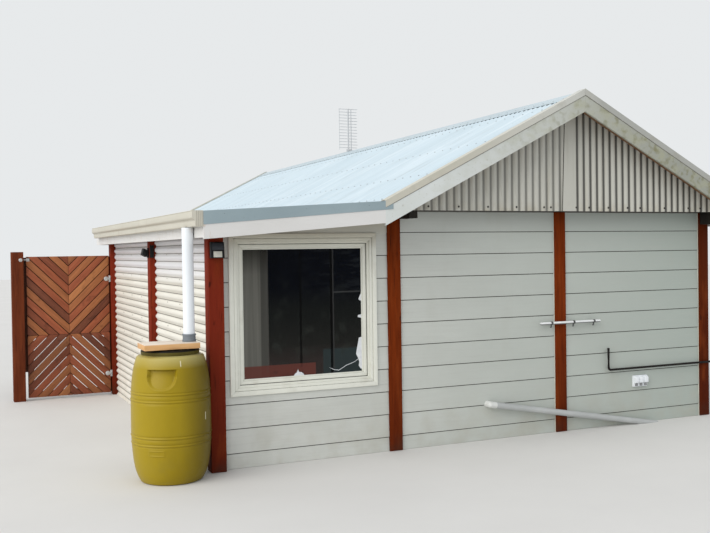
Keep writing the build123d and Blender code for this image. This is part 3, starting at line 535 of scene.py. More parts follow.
# A dark strip under each edge of the cap: painted shade in the hollows.
cap_edge_shade = surface("cap_edge_shade_strip", (0.06, 0.065, 0.07), (0.035, 0.04, 0.045), 30, rough=(0.85, 0.9))
cap_half, cap_lift, cap_end, cap_step = 0.1495, 0.0070, sheet_rear - 0.07, 0.07632
half_cap = [(cap_half, -0.0060), (cap_half, -0.0005), (0.135, 0), (0.09, 0), (0.022, 0), (0.012, 0.0001)]
across_cap = [(-x, lift) for x, lift in half_cap] + [(0, 0.0002)] + half_cap[::-1]
bm = bmesh.new()
ribbon(bm, [(x, -cap_end, roof_top(x) + cap_lift + lift) for x, lift in across_cap], (0, 2 * cap_end, 0),
       0.0008)
for side in (-1, 1):
    strip = band(roof_top, side * (cap_half - 0.002), side * (cap_half - 0.022), 0.0012, -0.018, -cap_end)
    prism(bm, strip, (0, 2 * cap_end, 0), 2)
    spots = [(side * 0.115, sheet_front + cap_step * k, roof_top(0.115) + cap_lift) for k in range(2, 117, 2)]
    screws(bm, spots, (side * slope, 0, 1), 0.0055)
finish("ridge_capping", bm, [cap_paint, roof_screw, cap_edge_shade], ("ridge_cap",), angle=40)

# Barge boards, their metal flashings and the soffit. The boards carry green-brown mould, most of it
# near the apex and along the lower edge; the flashing is a folded cream strip with a hem.
barge_paint = surface("barge_paint", (0.70, 0.73, 0.72), (0.64, 0.67, 0.65), 2.2, (1, 1, 1), (0.55, 0.7),
                      0.12)
coat(barge_paint,
     ((0.40, 0.405, 0.345), 0.88, ("X", 0.3, -1.6)),
     ((0.31, 0.32, 0.275), 0.85, ("X", 1.0, -0.2)),
     ((0.40, 0.40, 0.26), 0.6, (4, 0.44, 0.70, (1.6, 1, 2.6)), ("X", 0.4, -2.2)),
     ((0.19, 0.18, 0.09), 0.78, (15, 0.50, 0.68), ("X", 1.0, -1.2)),
     ((0.33, 0.31, 0.22), 0.4, (40, 0.60, 0.74)))
dress(barge_paint, "barge_boards")
flashing_paint = surface("flashing_paint", (0.58, 0.56, 0.48), (0.52, 0.50, 0.42), 1.6, (1, 1, 1),
                         (0.4, 0.55), 0.05)
coat(flashing_paint,
     ((0.56, 0.565, 0.53), 0.85, ("X", -0.2, -1.4)),
     ((0.33, 0.335, 0.31), 0.7, ("X", 0.2, -0.1)),
     ((0.33, 0.31, 0.25), 0.45, (6, 0.56, 0.76)))
hem_shadow = surface("hem_shadow", (0.26, 0.25, 0.22), (0.17, 0.165, 0.145), 5, rough=(0.8, 0.9))
roof_end, apex_gap = 4.5285, 0.0006
bm = bmesh.new()
for outer, inward in ((-roof_end, 1), (roof_end, -1)):
    for side in (-1, 1):
        down_slope = (side * (eave_run - apex_gap), 0, -slope * (eave_run - apex_gap))
        fold = [(side * apex_gap, outer + inward * d, ridge + z) for d, z in
                ((0.003, -0.031), (0, -0.0355), (0, 0.0225), (0.001, 0.0235), (0.093, 0.0235),
                 (0.093, 0.001))]
        ribbon(bm, fold, down_slope, 0.0006)
        gap = [(side * apex_gap, outer + inward * d, ridge + z) for d, z in
               ((0.002, -0.0415), (0.002, -0.034), (0.005, -0.034), (0.005, -0.0415))]
        prism(bm, gap, down_slope, 1)
finish("barge_metal", bm, [flashing_paint, hem_shadow], ("barge_flashings",))
dress(surface("soffit_stain", (0.26, 0.15, 0.08), (0.19, 0.10, 0.05), 3, (1, 8, 1), (0.6, 0.75), 0.2),
      "soffit_front")

# Lean-to edges. White fascias, and a blue-grey folded flashing over the front edge that runs on
# under the end of the wing's barge flashing.
fascia_paint = surface("fascia_paint", (0.725, 0.715, 0.70), (0.68, 0.67, 0.65), 1.2, (1, 1, 2), (0.5, 0.62),
                       0.08)
coat(fascia_paint,
     ((0.50, 0.33, 0.20), 0.6, (14, 0.60, 0.72, (4, 4, 1)), ("X", -3.60, -3.40)),
     ((0.55, 0.51, 0.44), 0.35, (4, 0.58, 0.76)))
dress(fascia_paint, "fascia_leanto_front", "fascias_leanto", "fascias_main")
blue = surface("blue_flashing_paint", (0.315, 0.395, 0.425), (0.275, 0.35, 0.38), 1.5, (1, 1, 1), (0.35, 0.5),
               0.04)
coat(blue, ((0.20, 0.24, 0.25), 0.6, (24, 0.68, 0.76)))
edge_left, edge_right, edge_tail = -3.583, -2.05, -1.980


def fascia_top(x):
    return 1.983 + 0.078 * (x - edge_left)


bm = bmesh.new()
prism(bm, facing(-4.5284, (edge_left, fascia_top(edge_left)), (edge_right, fascia_top(edge_right)),
                 (edge_tail, fascia_top(edge_tail)), (edge_tail, 2.1545), (edge_right, 2.1190),
                 (edge_right, leanto_top(edge_right) + 0.0095), (edge_left, leanto_top(edge_left) + 0.0095)),
      (0, 0.0012, 0))
over = leanto_top(edge_left) + 0.009
run = edge_right - 0.001 - edge_left
ribbon(bm, [(edge_left, -4.5278, over), (edge_left, -4.437, over), (edge_left, -4.437, over - 0.008)],
       (run, 0, leanto_slope * run), 0.0008)
screws(bm, [(x, -4.5234, leanto_top(x) - 0.02) for x in (-3.42, -2.75, -2.2)], (0, -1, 0), 0.003)
finish("leanto_front_flashing", bm, [blue, screw_steel], ("flashing_leanto",))

# Gutters. Folded cream channels with a beaded lip and a stepped front; the end plates follow the
# fold, and the front ones have four flutes painted darker as shade.
gutter_paint = surface("gutter_paint", (0.61, 0.585, 0.50), (0.56, 0.535, 0.45), 1.4, (1, 0.5, 3),
                       (0.4, 0.52), 0.05)
coat(gutter_paint, ((0.48, 0.43, 0.34), 0.5, (5, 0.58, 0.76, (3, 1.5, 1))))
# The flutes are painted darker as shade.
flute_shade = surface("gutter_flute_shade", (0.47, 0.44, 0.375), (0.41, 0.385, 0.325), 6, rough=(0.5, 0.6))
gutter_height, gutter_front = 0.123, -4.525
gutter_fold = [(0.001, 0.122), (0.001, 0.001), (0.054, 0.001), (0.060, 0.004), (0.062, 0.010), (0.062, 0.046),
               (0.066, 0.053), (0.078, 0.060), (0.083, 0.067), (0.085, 0.076), (0.085, 0.108), (0.081, 0.112),
               (0.081, 0.116), (0.085, 0.119), (0.084, 0.1225), (0.078, 0.1225)]


def gutter(bm, back, side, top, y0, y1):
    """A folded gutter from y0 to y1; side is the way out from its back."""
    line = [(back + side * d, y0, top - gutter_height + z) for d, z in gutter_fold]
    ribbon(bm, line, (0, y1 - y0, 0))
    for y, way in ((y0, 1), (y1, -1)):
        prism(bm, [(x, y + way * 0.0005, z) for x, _, z in line], (0, way * 0.0015, 0))
        ribbon(bm, [(x, y + way * 0.0002, z) for x, _, z in line[1:11]], (0, way * 0.014, 0), -0.0012)
    for k in range(4):
        x = back + side * (0.010 + 0.014 * k)
        box(bm, (x - 0.002, y0 - 0.0012, top - 0.119), (x + 0.002, y0, top - 0.004), 1)


for name, node, runs in (("leanto_gutter", "gutter_leanto", [(edge_left, -1, 2.090, gutter_front, 0.421)]),
                         ("wing_gutters", "gutters_main", [(2.07, 1, 2.150, gutter_front, -gutter_front),
                                                           (-2.07, -1, 2.150, 0.686, -gutter_front)])):
    bm = bmesh.new()
    for place in runs:
        gutter(bm, *place)
    finish(name, bm, [gutter_paint, flute_shade], (node,), angle=25)

# Downpipe. White pipe from the gutter through the board into the barrel, with a socket below the
# gutter and a grey rubber sleeve where it meets the board.
pipe_white = surface("pipe_white", (0.88, 0.92, 0.96), (0.83, 0.87, 0.91), 3, (1, 1, 0.5), (0.3, 0.42), 0.03)
coat(pipe_white, ((0.60, 0.47, 0.33), 0.6, (16, 0.56, 0.72, (1, 1, 0.3)), ("Z", 1.97, 1.80)))
rubber = surface("sleeve_rubber", (0.20, 0.225, 0.25), (0.15, 0.17, 0.19), 6, rough=(0.55, 0.7))
pipe_foot = (-3.631, -4.221, 0)


def lathe(bm, profile, foot, steps=48, index=0, out=(0, 0, 1)):
    """A round form spun from (radius, distance) points about an axis that leaves foot along out."""
    turned = bmesh.new()
    points = [turned.verts.new((radius, 0, distance)) for radius, distance in profile]
    line = [turned.edges.new(pair) for pair in zip(points, points[1:])]
    bmesh.ops.spin(turned, geom=points + line, axis=(0, 0, 1), angle=2 * pi, steps=steps, use_merge=True)
    bmesh.ops.remove_doubles(turned, verts=turned.verts, dist=0.00001)
    mark(turned.faces, index)
    turned.transform(turned_to(foot, out))
    spun = bpy.data.meshes.new("spun")
    turned.to_mesh(spun)
    turned.free()
    bm.from_mesh(spun)
    bpy.data.meshes.remove(spun)


bm = bmesh.new()
lathe(bm,
      [(0.040, 1.966), (0.040, 0.945), (0.0445, 0.9445), (0.0445, 1.845), (0.0448, 1.846), (0.0448, 1.966),
           (0.040, 1.966)], pipe_foot)
lathe(bm, [(0.044, 1.842), (0.0449, 1.843), (0.0449, 1.850), (0.044, 1.851)], pipe_foot)
finish("white_downpipe", bm, [pipe_white], ("downpipe",))
bm = bmesh.new()
lathe(bm, [(0.0452, 1.080), (0.0525, 1.079), (0.0538, 1.082), (0.0538, 1.092), (0.050, 1.095), (0.050, 1.123),
           (0.0538, 1.126), (0.0538, 1.135), (0.0525, 1.1375), (0.0452, 1.1378)], pipe_foot)
finish("grey_sleeve", bm, [rubber], ("downpipe_collar",))

# Window. A stepped timber surround: architrave, frame and sash each set back from the one outside
# it, with a dark strip between as painted shade, and one dark pane with painted reflections and the
# room behind painted on it, and torn scraps of white film on it.
window_paint = surface("window_paint", (0.82, 0.825, 0.745), (0.76, 0.765, 0.685), 3, (2, 2, 2), (0.42, 0.56),
                       0.10)
# Painted shade: the surround darkens towards its head under the lean-to's fascia.
coat(window_paint,
     ((0.48, 0.45, 0.355), 0.75, ("Z", 1.90, 1.78)),
     ((0.48, 0.46, 0.37), 0.35, (6, 0.58, 0.74)))


def ring(bm, outer, inner, y0, y1, index=0, bevel=0.0):
    """Four mitred lengths of a square surround centred on the window, at depths behind the boards."""
    corners = [(-1, -1), (1, -1), (1, 1), (-1, 1)]
    for start, end in zip(corners, corners[1:] + corners[:1]):
        outline = facing(front + y0, *[(window_x + a * half, window_z + b * half) for (a, b), half in
                                       ((start, outer), (end, outer), (end, inner), (start, inner))])
        prism(bm, outline, (0, y1 - y0, 0), index, bevel)


bm = bmesh.new()
ring(bm, window_half, 0.6255, -0.022, 0.001, 0, 0.003)
# The rings on material 1 are dark strips in the gaps between architrave, frame and sash: painted shade.
ring(bm, 0.6255, 0.6175, -0.010, 0.001, 1)
ring(bm, 0.6235, 0.5995, -0.016, 0.060, 0, 0.003)
ring(bm, 0.5995, 0.5795, -0.004, 0.080, 0, 0.002)
ring(bm, 0.5995, 0.5785, 0.010, 0.080, 1)
finish("window_surround", bm, [window_paint, gap_shade], ("window_frame",))
pane_half = 0.5335
bm = bmesh.new()
ring(bm, 0.5755, 0.5455, 0.012, 0.056, 0, 0.003)
ring(bm, 0.5455, pane_half, 0.020, 0.056, 0, 0.004)
finish("window_sash_frame", bm, [window_paint], ("window_sash",))
glass = surface("dark_glass", (0.0020, 0.0030, 0.0062), (0.0010, 0.0018, 0.0045), 7, rough=(0.03, 0.06),
                bump=0.0, sheen=0.05)
glass.node_tree.nodes["Principled BSDF"].inputs["Alpha"].default_value = 0.92
pane_left, pane_right, pane_low = window_x - pane_half, window_x + pane_half, window_z - pane_half
mullion, curtain_edge = pane_left + 0.803, pane_left + 0.213
on_curtain = ("X", curtain_edge - 0.004, curtain_edge)
uprights = [((tone, tone, tone), amount, ("X", x - half + 0.003, x - half - 0.003),
             ("X", x + half - 0.003, x + half + 0.003))
            for x, half, tone,
            amount in ((pane_left + 0.505, 0.010, 0.002, 0.8), (mullion - 0.016, 0.011, 0.001, 0.9),
                                          (mullion + 0.002, 0.006, 0.042, 0.85))]
# Painted light, shade and reflection on the pane: it is darker at the top and lighter and warmer lower down,
# with pale streaks of painted sky reflection at the top right; the dim room behind, with a pale curtain at
# the left, dark and pale uprights and a red-brown sill, is painted on it too.
coat(glass,
     ((0.010, 0.0115, 0.0105), 0.9, ("Z", pane_low + 0.55, pane_low + 0.75)),
     ((0.018, 0.018, 0.016), 0.9, ("Z", pane_low + 0.25, pane_low + 0.50)),
     ((0.036, 0.028, 0.026), 0.9, ("Z", pane_low + 0.10, pane_low + 0.26)),
     ((0.030, 0.044, 0.046), 0.8, ("Z", pane_low + 0.20, pane_low + 0.22),
      ("X", pane_left + 0.71, pane_left + 0.70)),
     ((0.022, 0.026, 0.030), 0.7, (6, 0.50, 0.62, (0.8, 1, 5)), ("X", pane_right, pane_left + 0.4),
      ("Z", pane_low + 0.95, pane_low + 0.55)),
     ((0.030, 0.034, 0.030), 0.6, (9, 0.55, 0.68), ("Z", pane_low + 0.3, pane_low + 0.9)),
     *uprights,
     ((0.048, 0.050, 0.050), 0.8, ("Z", 1.412, 1.406), ("Z", 1.420, 1.426),
      ("X", mullion + 0.006, mullion + 0.002)),
     ((0.160, 0.158, 0.140), 0.95, on_curtain),
     ((0.050, 0.050, 0.045), 0.45, on_curtain, (5, 0.40, 0.72, (7, 1, 0.15))),
     ((0.20, 0.19, 0.17), 0.8, ("X", curtain_edge + 0.004, curtain_edge),
      ("X", curtain_edge + 0.002, curtain_edge + 0.006)),
     ((0.22, 0.24, 0.22), 0.6, (55, 0.735, 0.76), (3, 0.50, 0.60)),
     ((0.045, 0.044, 0.040), 0.7, ("X", pane_left + 0.155, pane_left + 0.147), on_curtain),
     ((0.018, 0.017, 0.014), 0.75, ("Z", pane_low + 1.05, pane_low + 0.86), on_curtain),
     ((0.130, 0.043, 0.034), 0.92, ("Z", pane_low + 0.096, pane_low + 0.104),
      ("X", pane_left + 0.63, pane_left + 0.64), (14, 0.10, 0.40)))
dress(glass, "window_glass")
film = surface("torn_film", (0.80, 0.82, 0.84), (0.68, 0.70, 0.73), 25, rough=(0.3, 0.5), bump=0.3)
right_scraps = [[(0, 1.400), (-0.008, 1.385), (-0.024, 1.352), (-0.018, 1.338), (0, 1.334)],
                [(0, 1.214), (-0.030, 1.210), (-0.034, 1.192), (0, 1.184)],
                [(0, 1.018), (-0.026, 1.012), (-0.034, 0.968), (-0.046, 0.915), (-0.054, 0.872),
                 (-0.036, 0.838), (-0.024, 0.802), (-0.030, 0.770), (-0.012, 0.742), (0, 0.738)]]
low_scraps = [[(-2.700, 0.0), (-2.684, 0.020), (-2.672, 0.026), (-2.660, 0.052), (-2.652, 0.030),
               (-2.628, 0.026), (-2.612, 0.012), (-2.604, 0.0)],
              [(-2.380, 0.052), (-2.330, 0.030), (-2.285, 0.022), (-2.215, 0.060), (-2.175, 0.072),
               (-2.130, 0.088),
               (-2.095, 0.112), (-2.096, 0.107), (-2.132, 0.082), (-2.176, 0.067), (-2.215, 0.055),
               (-2.285, 0.017), (-2.332, 0.026)]]
bm = bmesh.new()
for from_x, from_z, scraps in ((pane_right, 0, right_scraps), (0, pane_low, low_scraps)):
    for scrap in scraps:
        prism(bm, facing(front + 0.0262, *[(from_x + x, from_z + z) for x, z in scrap]), (0, 0.001, 0))
finish("film_scraps", bm, [film])

# Yard door. A plain boarded door in the hidden wall, with a knob, in the same paints.
door_paint = surface("door_paint", (0.56, 0.535, 0.46), (0.51, 0.485, 0.41), 2, (1, 1, 0.6), (0.45, 0.6),
                     0.12)
steel = surface("door_steel", (0.45, 0.45, 0.44), (0.36, 0.36, 0.35), 8, rough=(0.3, 0.45))
low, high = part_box("door_leaf")
bm = bmesh.new()
lathe(bm, [(0.0, 0.050), (0.018, 0.048), (0.024, 0.038), (0.020, 0.028), (0.010, 0.022), (0.010, 0.004),
           (0.026, 0.003), (0.026, 0.0)], (low.x, low.y + 0.07, 1.02), 24, 0, (-1, 0, 0))
finish("door_knob", bm, [steel])
door_boards = 6
bm = bmesh.new()
box(bm, (low.x + 0.006, low.y, low.z), (high.x, high.y, high.z), 0, 0.002)
for k in range(door_boards):
    y0, y1 = [low.y + (high.y - low.y) * n / door_boards for n in (k, k + 1)]
    box(bm, (low.x, y0 + 0.0015, low.z + 0.001), (low.x + 0.010, y1 - 0.0015, high.z - 0.001), 0, 0.002)
finish("yard_door", bm, [door_paint], ("door_leaf",))
dress(window_paint, "door_frame")

# Rain barrel. Moulded olive plastic with four hoops, a D-shaped hand hold pressed in on two sides, a
# blank raised plate low down and two short pale strokes of painted highlight; painted light makes its
# left side and shoulder lighter and painted shade its right side darker. The screw lid is dark, black
# along its top as painted shadow under the pine board on it.
barrel = Vector((corner_x - 0.382, front - 0.072, 0))
olive = surface("barrel_plastic", (0.325, 0.232, 0.007), (0.275, 0.192, 0.005), 1.8, (1, 1, 0.6),
                (0.34, 0.46), 0.06, 90, 0.2)
# Two short pale strokes of painted highlight.
painted_glints = [((0.80, 0.78, 0.60), 0.8, ("X", x, x - 0.004), ("X", x + 0.002, x + 0.006), ("Z", z0 + 0.008, z0),
           ("Z", z1 - 0.008, z1), ("Y", barrel.y - 0.1, barrel.y - 0.09))
          for x, z0, z1 in ((barrel.x + 0.014, 0.905, 0.955), (barrel.x + 0.214, 0.480, 0.545))]
# Painted light and shade: darker towards the right side, lighter towards the left side and on the shoulder,
# with the two strokes of painted highlight.
coat(olive,
     ((0.070, 0.050, 0.001), 0.88, ("X", barrel.x + 0.30, barrel.x)),
     ((0.22, 0.165, 0.016), 0.35, (7, 0.58, 0.76)),
     ((0.24, 0.185, 0.035), 0.35, ("Z", 0.0, 0.35), (10, 0.42, 0.66)),
     ((0.56, 0.51, 0.23), 0.65, ("Z", 0.985, 0.89)),
     ((0.42, 0.31, 0.02), 0.5, ("X", barrel.x - 0.30, barrel.x - 0.05)),
     *painted_glints)
hoops = (0.311, 0.369, 0.645, 0.700)
waist, widest = 0.366, 0.309
hold_turns, hold_low, hold_high, hold_half = (radians(243), radians(63)), 0.735, 0.889, 0.124
plate_turn, plate_z = radians(235), 0.257


def barrel_radius(z):
    if z < waist:
        short = 1 - z / waist
        return widest - 0.030 * short ** 1.3 - 0.042 * short ** 5
    return widest - 0.051 * ((z - waist) / 0.606) ** 4.5


def soft(value):
    """Eases a value from 0 to 1."""
    value = min(max(value, 0), 1)
    return value * value * (3 - 2 * value)


def pressed(angle, z):
    """How far the wall is pressed in, or raised where negative, at a turn and a height."""
    total = 0
    for turn in hold_turns:
        away = abs((angle - turn + pi) % (2 * pi) - pi) * 0.303
        side = (1 - (away / hold_half) ** 2.8 - (max(hold_high - z, 0) / 0.154) ** 2.4) * 0.075
        depth = 0.010 + 0.026 * soft((z - hold_low) / 0.12)
        total += depth * soft(side / 0.018) * soft((hold_high - z) / 0.003)
        total -= 0.002 * soft(1 - abs(min(side, hold_high - z) + 0.004) / 0.006)
    away = abs((angle - plate_turn + pi) % (2 * pi) - pi) * 0.3
    edge = min(0.064 - away, 0.024 - abs(z - plate_z))
    return total - 0.0035 * soft(1 - abs(edge - 0.005) / 0.007)


def press(bm, depth):
    """Moves the outer wall towards the barrel's axis, by a depth for its radius, turn and height."""
    for vert in bm.verts:
        x, y = vert.co.x - barrel.x, vert.co.y - barrel.y
        radius = hypot(x, y)
        if radius > 0.2:
            share = 1 - depth(radius, atan2(y, x), vert.co.z) / radius
            vert.co.x, vert.co.y = barrel.x + x * share, barrel.y + y * share


def hold_depth(radius, angle, z):
    return pressed(angle % (2 * pi), z) if z < 0.93 else 0


def grip_depth(radius, angle, z):
    rib = round(angle / (2 * pi) * 120) % 3 == 0
    return -0.0014 if rib and radius > 0.22 and z < 1.02 else 0


heights = [0.006, 0.011, 0.018] + [0.03 + 0.015 * k for k in range(18)]
heights += [0.231 + 0.003 * k for k in range(18)]
heights += [h + d * 0.001 for h in hoops for d in (-15, -13, -11, -9, -6, -4, -2, 0, 2, 4, 6, 9, 11, 13, 15)]
heights += [0.40 + 0.03 * k for k in range(8)] + [0.725 + 0.005 * k for k in range(33)] + [0.886, 0.8875,
                                                                                           0.8885]
heights += [0.891, 0.893, 0.895, 0.897, 0.90, 0.905, 0.91, 0.915, 0.92, 0.925, 0.93, 0.94, 0.95, 0.958]
wall = [(0.0, 0.0008), (0.215, 0.0008), (0.231, 0.0018)]
for z in sorted(set(round(z, 4) for z in heights)):
    near = min(abs(z - h) for h in hoops)
    hoop, groove = soft(1 - near / 0.008), soft(1 - abs(near - 0.011) / 0.004)
    wall.append((barrel_radius(z) + 0.0040 * hoop - 0.0025 * groove, z))
wall += [(0.2605, 0.9655), (0.257, 0.9715), (0.250, 0.9755), (0.238, 0.9790), (0.224, 0.9825),
         (0.2165, 0.985), (0.2150, 0.989), (0.2150, 0.9955), (0.2030, 0.9955), (0.2030, 0.945), (0.0, 0.945)]
bm = bmesh.new()
lathe(bm, wall, barrel, 288)
press(bm, hold_depth)
finish("olive_rain_barrel", bm, [olive], ("rain_barrel", "barrel_bottom"), angle=60)
lid_plastic = surface("lid_plastic", (0.100, 0.080, 0.012), (0.075, 0.060, 0.009), 6, rough=(0.5, 0.6),
                      sheen=0.15)
# Black along the top of the lid: painted shadow under the board.
coat(lid_plastic, ((0.006, 0.005, 0.004), 1.0, ("Z", 1.0125, 1.0105)))
bm = bmesh.new()
lathe(bm, [(0.0, 0.990), (0.2152, 0.990), (0.216, 0.987), (0.2245, 0.987), (0.2245, 1.012), (0.219, 1.022),
           (0.205, 1.025), (0.18, 1.0255), (0.16, 1.022), (0.0, 1.022)], barrel, 120)
press(bm, grip_depth)
for y in (barrel.y - 0.150, barrel.y + 0.010):
    box(bm, (barrel.x - 0.15, y, 1.0215), (barrel.x + 0.05, y + 0.050, 1.0315), 0, 0.002)
finish("screw_lid", bm, [lid_plastic], ("barrel_lid",))
pine = surface("pine_board", (0.74, 0.44, 0.20), (0.62, 0.335, 0.135), 2.4, (1.2, 9, 9), (0.5, 0.65), 0.25,
               60)
coat(pine, ((0.80, 0.74, 0.66), 0.85, ("Z", 1.0775, 1.0715)))
bm = bmesh.new()
box(bm, *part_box("lid_board"), 0, 0.004)
finish("board_on_lid", bm, [pine], ("lid_board",))

# Gate leaf. Hardwood battens meet at 45 degrees in four quarters, each batten in its own tone, tight
# in the upper half and with open slits in the lower half, on a dark ledged frame.
tones = [((0.420, 0.150, 0.055), (0.300, 0.102, 0.038)), ((0.260, 0.072, 0.032), (0.175, 0.046, 0.021)),
         ((0.520, 0.205, 0.075), (0.385, 0.142, 0.052)), ((0.200, 0.062, 0.030), (0.140, 0.040, 0.020)),
         ((0.350, 0.128, 0.050), (0.245, 0.086, 0.034)), ((0.380, 0.105, 0.044), (0.270, 0.070, 0.030))]
gate_timbers = []
for k, (pale, deep) in enumerate(tones):
    for lean, way in ((-1, "left"), (1, "right")):
        timber = surface(f"gate_timber_{k}_{way}", pale, deep, 3.0, (1, 1, 1), (0.5, 0.68), 0.3, 70)
        for node in timber.node_tree.nodes:
            if node.type == "MAPPING":
                node.vector_type = "TEXTURE"
                node.inputs["Rotation"].default_value = (0, lean * radians(45), 0)
                node.inputs["Scale"].default_value = (1 / 1.2, 1 / 8, 1 / 14)
        coat(timber,
             ([0.45 * c for c in deep], 0.5, (9, 0.60, 0.70)),
             ([0.55 * c for c in deep], 0.45, ("Z", 0.72, 0.80)))
        gate_timbers.append(timber)
gate_gap = surface("gate_gap_shadow", (0.022, 0.012, 0.008), (0.014, 0.008, 0.006), rough=(0.85, 0.9))
leaf_left, leaf_right, leaf_y = -4.4425, -3.4625, 0.485
leaf_low, seam, leaf_high = 0.030, 0.788, 1.750
half_leaf, middle_x = (leaf_right - leaf_left) / 2, (leaf_left + leaf_right) / 2
batten_step = 0.085 * 2 ** 0.5


def clip(outline, wide, tall, edge):
    """Keeps the part of a flat outline that lies between edge and wide, and between edge and tall."""
    for axis, limit, sign in ((0, edge, 1), (0, wide, -1), (1, edge, 1), (1, tall, -1)):
        kept = []
        for a, b in zip(outline, outline[1:] + outline[:1]):
            da, db = sign * (a[axis] - limit), sign * (b[axis] - limit)
            if da >= 0:
                kept.append(a)
            if da * db < 0:
                share = da / (da - db)
                kept.append((a[0] + share * (b[0] - a[0]), a[1] + share * (b[1] - a[1])))
        outline = kept
        if len(outline) < 3:
            return []
    return outline


def spread(outline):
    return min(max(p[axis] for p in outline) - min(p[axis] for p in outline) for axis in (0, 1))


def lay(bm, side, way, tall, low, high, depth, thickness, index, bevel=0.0):
    """Lays one slanting batten or joint strip, between two heights at the leaf's middle line, if it
    falls on the leaf, and says whether it did."""
    outline = clip([(0, low), (1, low + 1), (1, high + 1), (0, high)], half_leaf - 0.0003, tall - 0.0003,
                   0.0015)
    if not outline or spread(outline) < 0.006:
        return False
    placed = facing(leaf_y + depth, *[(middle_x + side * x, seam + way * z) for x, z in outline])
    prism(bm, placed, (0, thickness, 0), index, bevel)
    return True


random.seed(7)
for name, node, way, tall, gap in (("gate_upper_battens", "gate_battens_upper", 1, leaf_high - seam, 0.013),
                                   ("gate_lower_battens", "gate_battens_lower", -1, seam - leaf_low, 0.010)):
    bm = bmesh.new()
    for side in (-1, 1):
        lean = 1 if side * way < 0 else 0
        last = -1
        for k in range(-6, 9):
            foot = k * batten_step
            tone = random.choice([t for t in range(len(tones)) if t != last])
            if lay(bm, side, way, tall, foot + gap / 2, foot + batten_step - gap / 2, 0.0003, 0.0194,
                   2 * tone + lean, 0.0022):
                last = tone
            if way > 0:
                lay(bm, side, way, tall, foot - 0.009, foot + 0.009, 0.0150, 0.0046, len(gate_timbers))
    finish(name, bm, gate_timbers + [gate_gap], (node,), "gate")

# Gate frame and fittings. A dark frame behind the battens, galvanised hinges with round bosses and
# knuckles, a latch with its keeper on the post, and two stops that the leaf closes against.
ledge = surface("gate_frame_timber", (0.135, 0.048, 0.024), (0.090, 0.030, 0.015), 3, (3, 3, 1), (0.6, 0.75),
                0.3, 60)
dress(ledge, "gate_frame")
galvanised = surface("galvanised", (0.60, 0.61, 0.61), (0.47, 0.48, 0.48), 60, rough=(0.32, 0.5), bump=0.08)
galvanised.node_tree.nodes["Principled BSDF"].inputs["Metallic"].default_value = 0.65
dress(galvanised, "gate_hinges", "gate_pins", "gate_latch")
bm = bmesh.new()
for z in (0.272, 1.460):
    lathe(bm,
          [(0.0, -0.041), (0.008, -0.0405), (0.0092, -0.037), (0.0092, 0.037), (0.008, 0.0405), (0.0, 0.041)],
          (-3.4595, 0.471, z), 24)
    lathe(bm, [(0.0, 0.0), (0.028, 0.0), (0.029, 0.003), (0.027, 0.007), (0.021, 0.010), (0.010, 0.0122),
               (0.0, 0.0128)], (-3.4975, leaf_y - 0.0028, z), 36, 0, (0, -1, 0))
finish("hinge_bosses", bm, [galvanised], body="gate")
bm = bmesh.new()
lathe(bm, [(0.0, 0.0), (0.022, 0.0), (0.022, 0.004), (0.021, 0.009), (0.016, 0.0115), (0.0, 0.012)],
      (-4.511, 0.4250, 1.712), 32, 0, (0, -1, 0))
finish("latch_keeper", bm, [galvanised])
post_side = corner_x - half_post
bm = bmesh.new()
for x0, x1, z0 in ((post_side - 0.030, post_side, 0.03),
                   (latch_post_right - 0.004, latch_post_right + 0.046, 0.34)):
    box(bm, (x0, 0.546, z0), (x1, 0.556, 1.74), 0, 0.002)
finish("gate_stops", bm, [ledge])

# Rail across the middle post. Galvanised tube with sleeves and end caps, on brackets whose dark
# hooks hang below it.
rail_y, rail_z = -4.127, 1.051
rail_zinc = surface("rail_zinc", (0.92, 0.93, 0.93), (0.80, 0.82, 0.82), 22, rough=(0.28, 0.42), bump=0.06,
                    sheen=0.5)
# Painted shade: the tube is dark along its underside.
coat(rail_zinc, ((0.10, 0.105, 0.105), 0.9, ("Z", rail_z - 0.0060, rail_z - 0.0005)))
hook = surface("hook_steel", (0.10, 0.10, 0.10), (0.06, 0.06, 0.06), 12, rough=(0.4, 0.6))
bm = bmesh.new()
lathe(bm, [(0.0, 0.0), (0.0115, 0.0004), (0.0132, 0.004), (0.0134, 0.010), (0.0134, 0.693), (0.0132, 0.699),
           (0.0115, 0.7026), (0.0, 0.703)], (-0.234, rail_y, rail_z), 32, 0, (1, 0, 0))
for x in (-0.107, 0.152, 0.393):
    lathe(bm, [(0.0125, 0.0), (0.0162, 0.0), (0.0162, 0.020), (0.0125, 0.020), (0.0125, 0.0)],
          (x - 0.010, rail_y, rail_z), 32, 1, (1, 0, 0))
    for x0, x1, y0, y1, z0, z1, bevel in ((-0.007, 0.007, rail_y + 0.006, front, -0.0085, 0.0085, 0.002),
                                          (-0.020, 0.020, front - 0.004, front, -0.022, 0.022, 0.001),
                                          (-0.010, 0.001, rail_y - 0.004, rail_y + 0.004, -0.034, -0.012,
                                           0.002),
                                          (-0.018, -0.001, rail_y - 0.004, rail_y + 0.004, -0.042, -0.032,
                                           0.002)):
        box(bm, (x + x0, y0, rail_z + z0), (x + x1, y1, rail_z + z1), 1, bevel)
finish("post_rail", bm, [rail_zinc, hook], ("wall_rail",))

# Conduit, socket box and waste pipe on the right half of the front. A dark bent conduit runs on over
# the corner post, white weatherproof covers sit below it, and a grey pipe falls to the right.
dark_pipe = surface("conduit_plastic", (0.016, 0.013, 0.012), (0.010, 0.008, 0.008), 8, rough=(0.45, 0.6),
                    sheen=0.15)


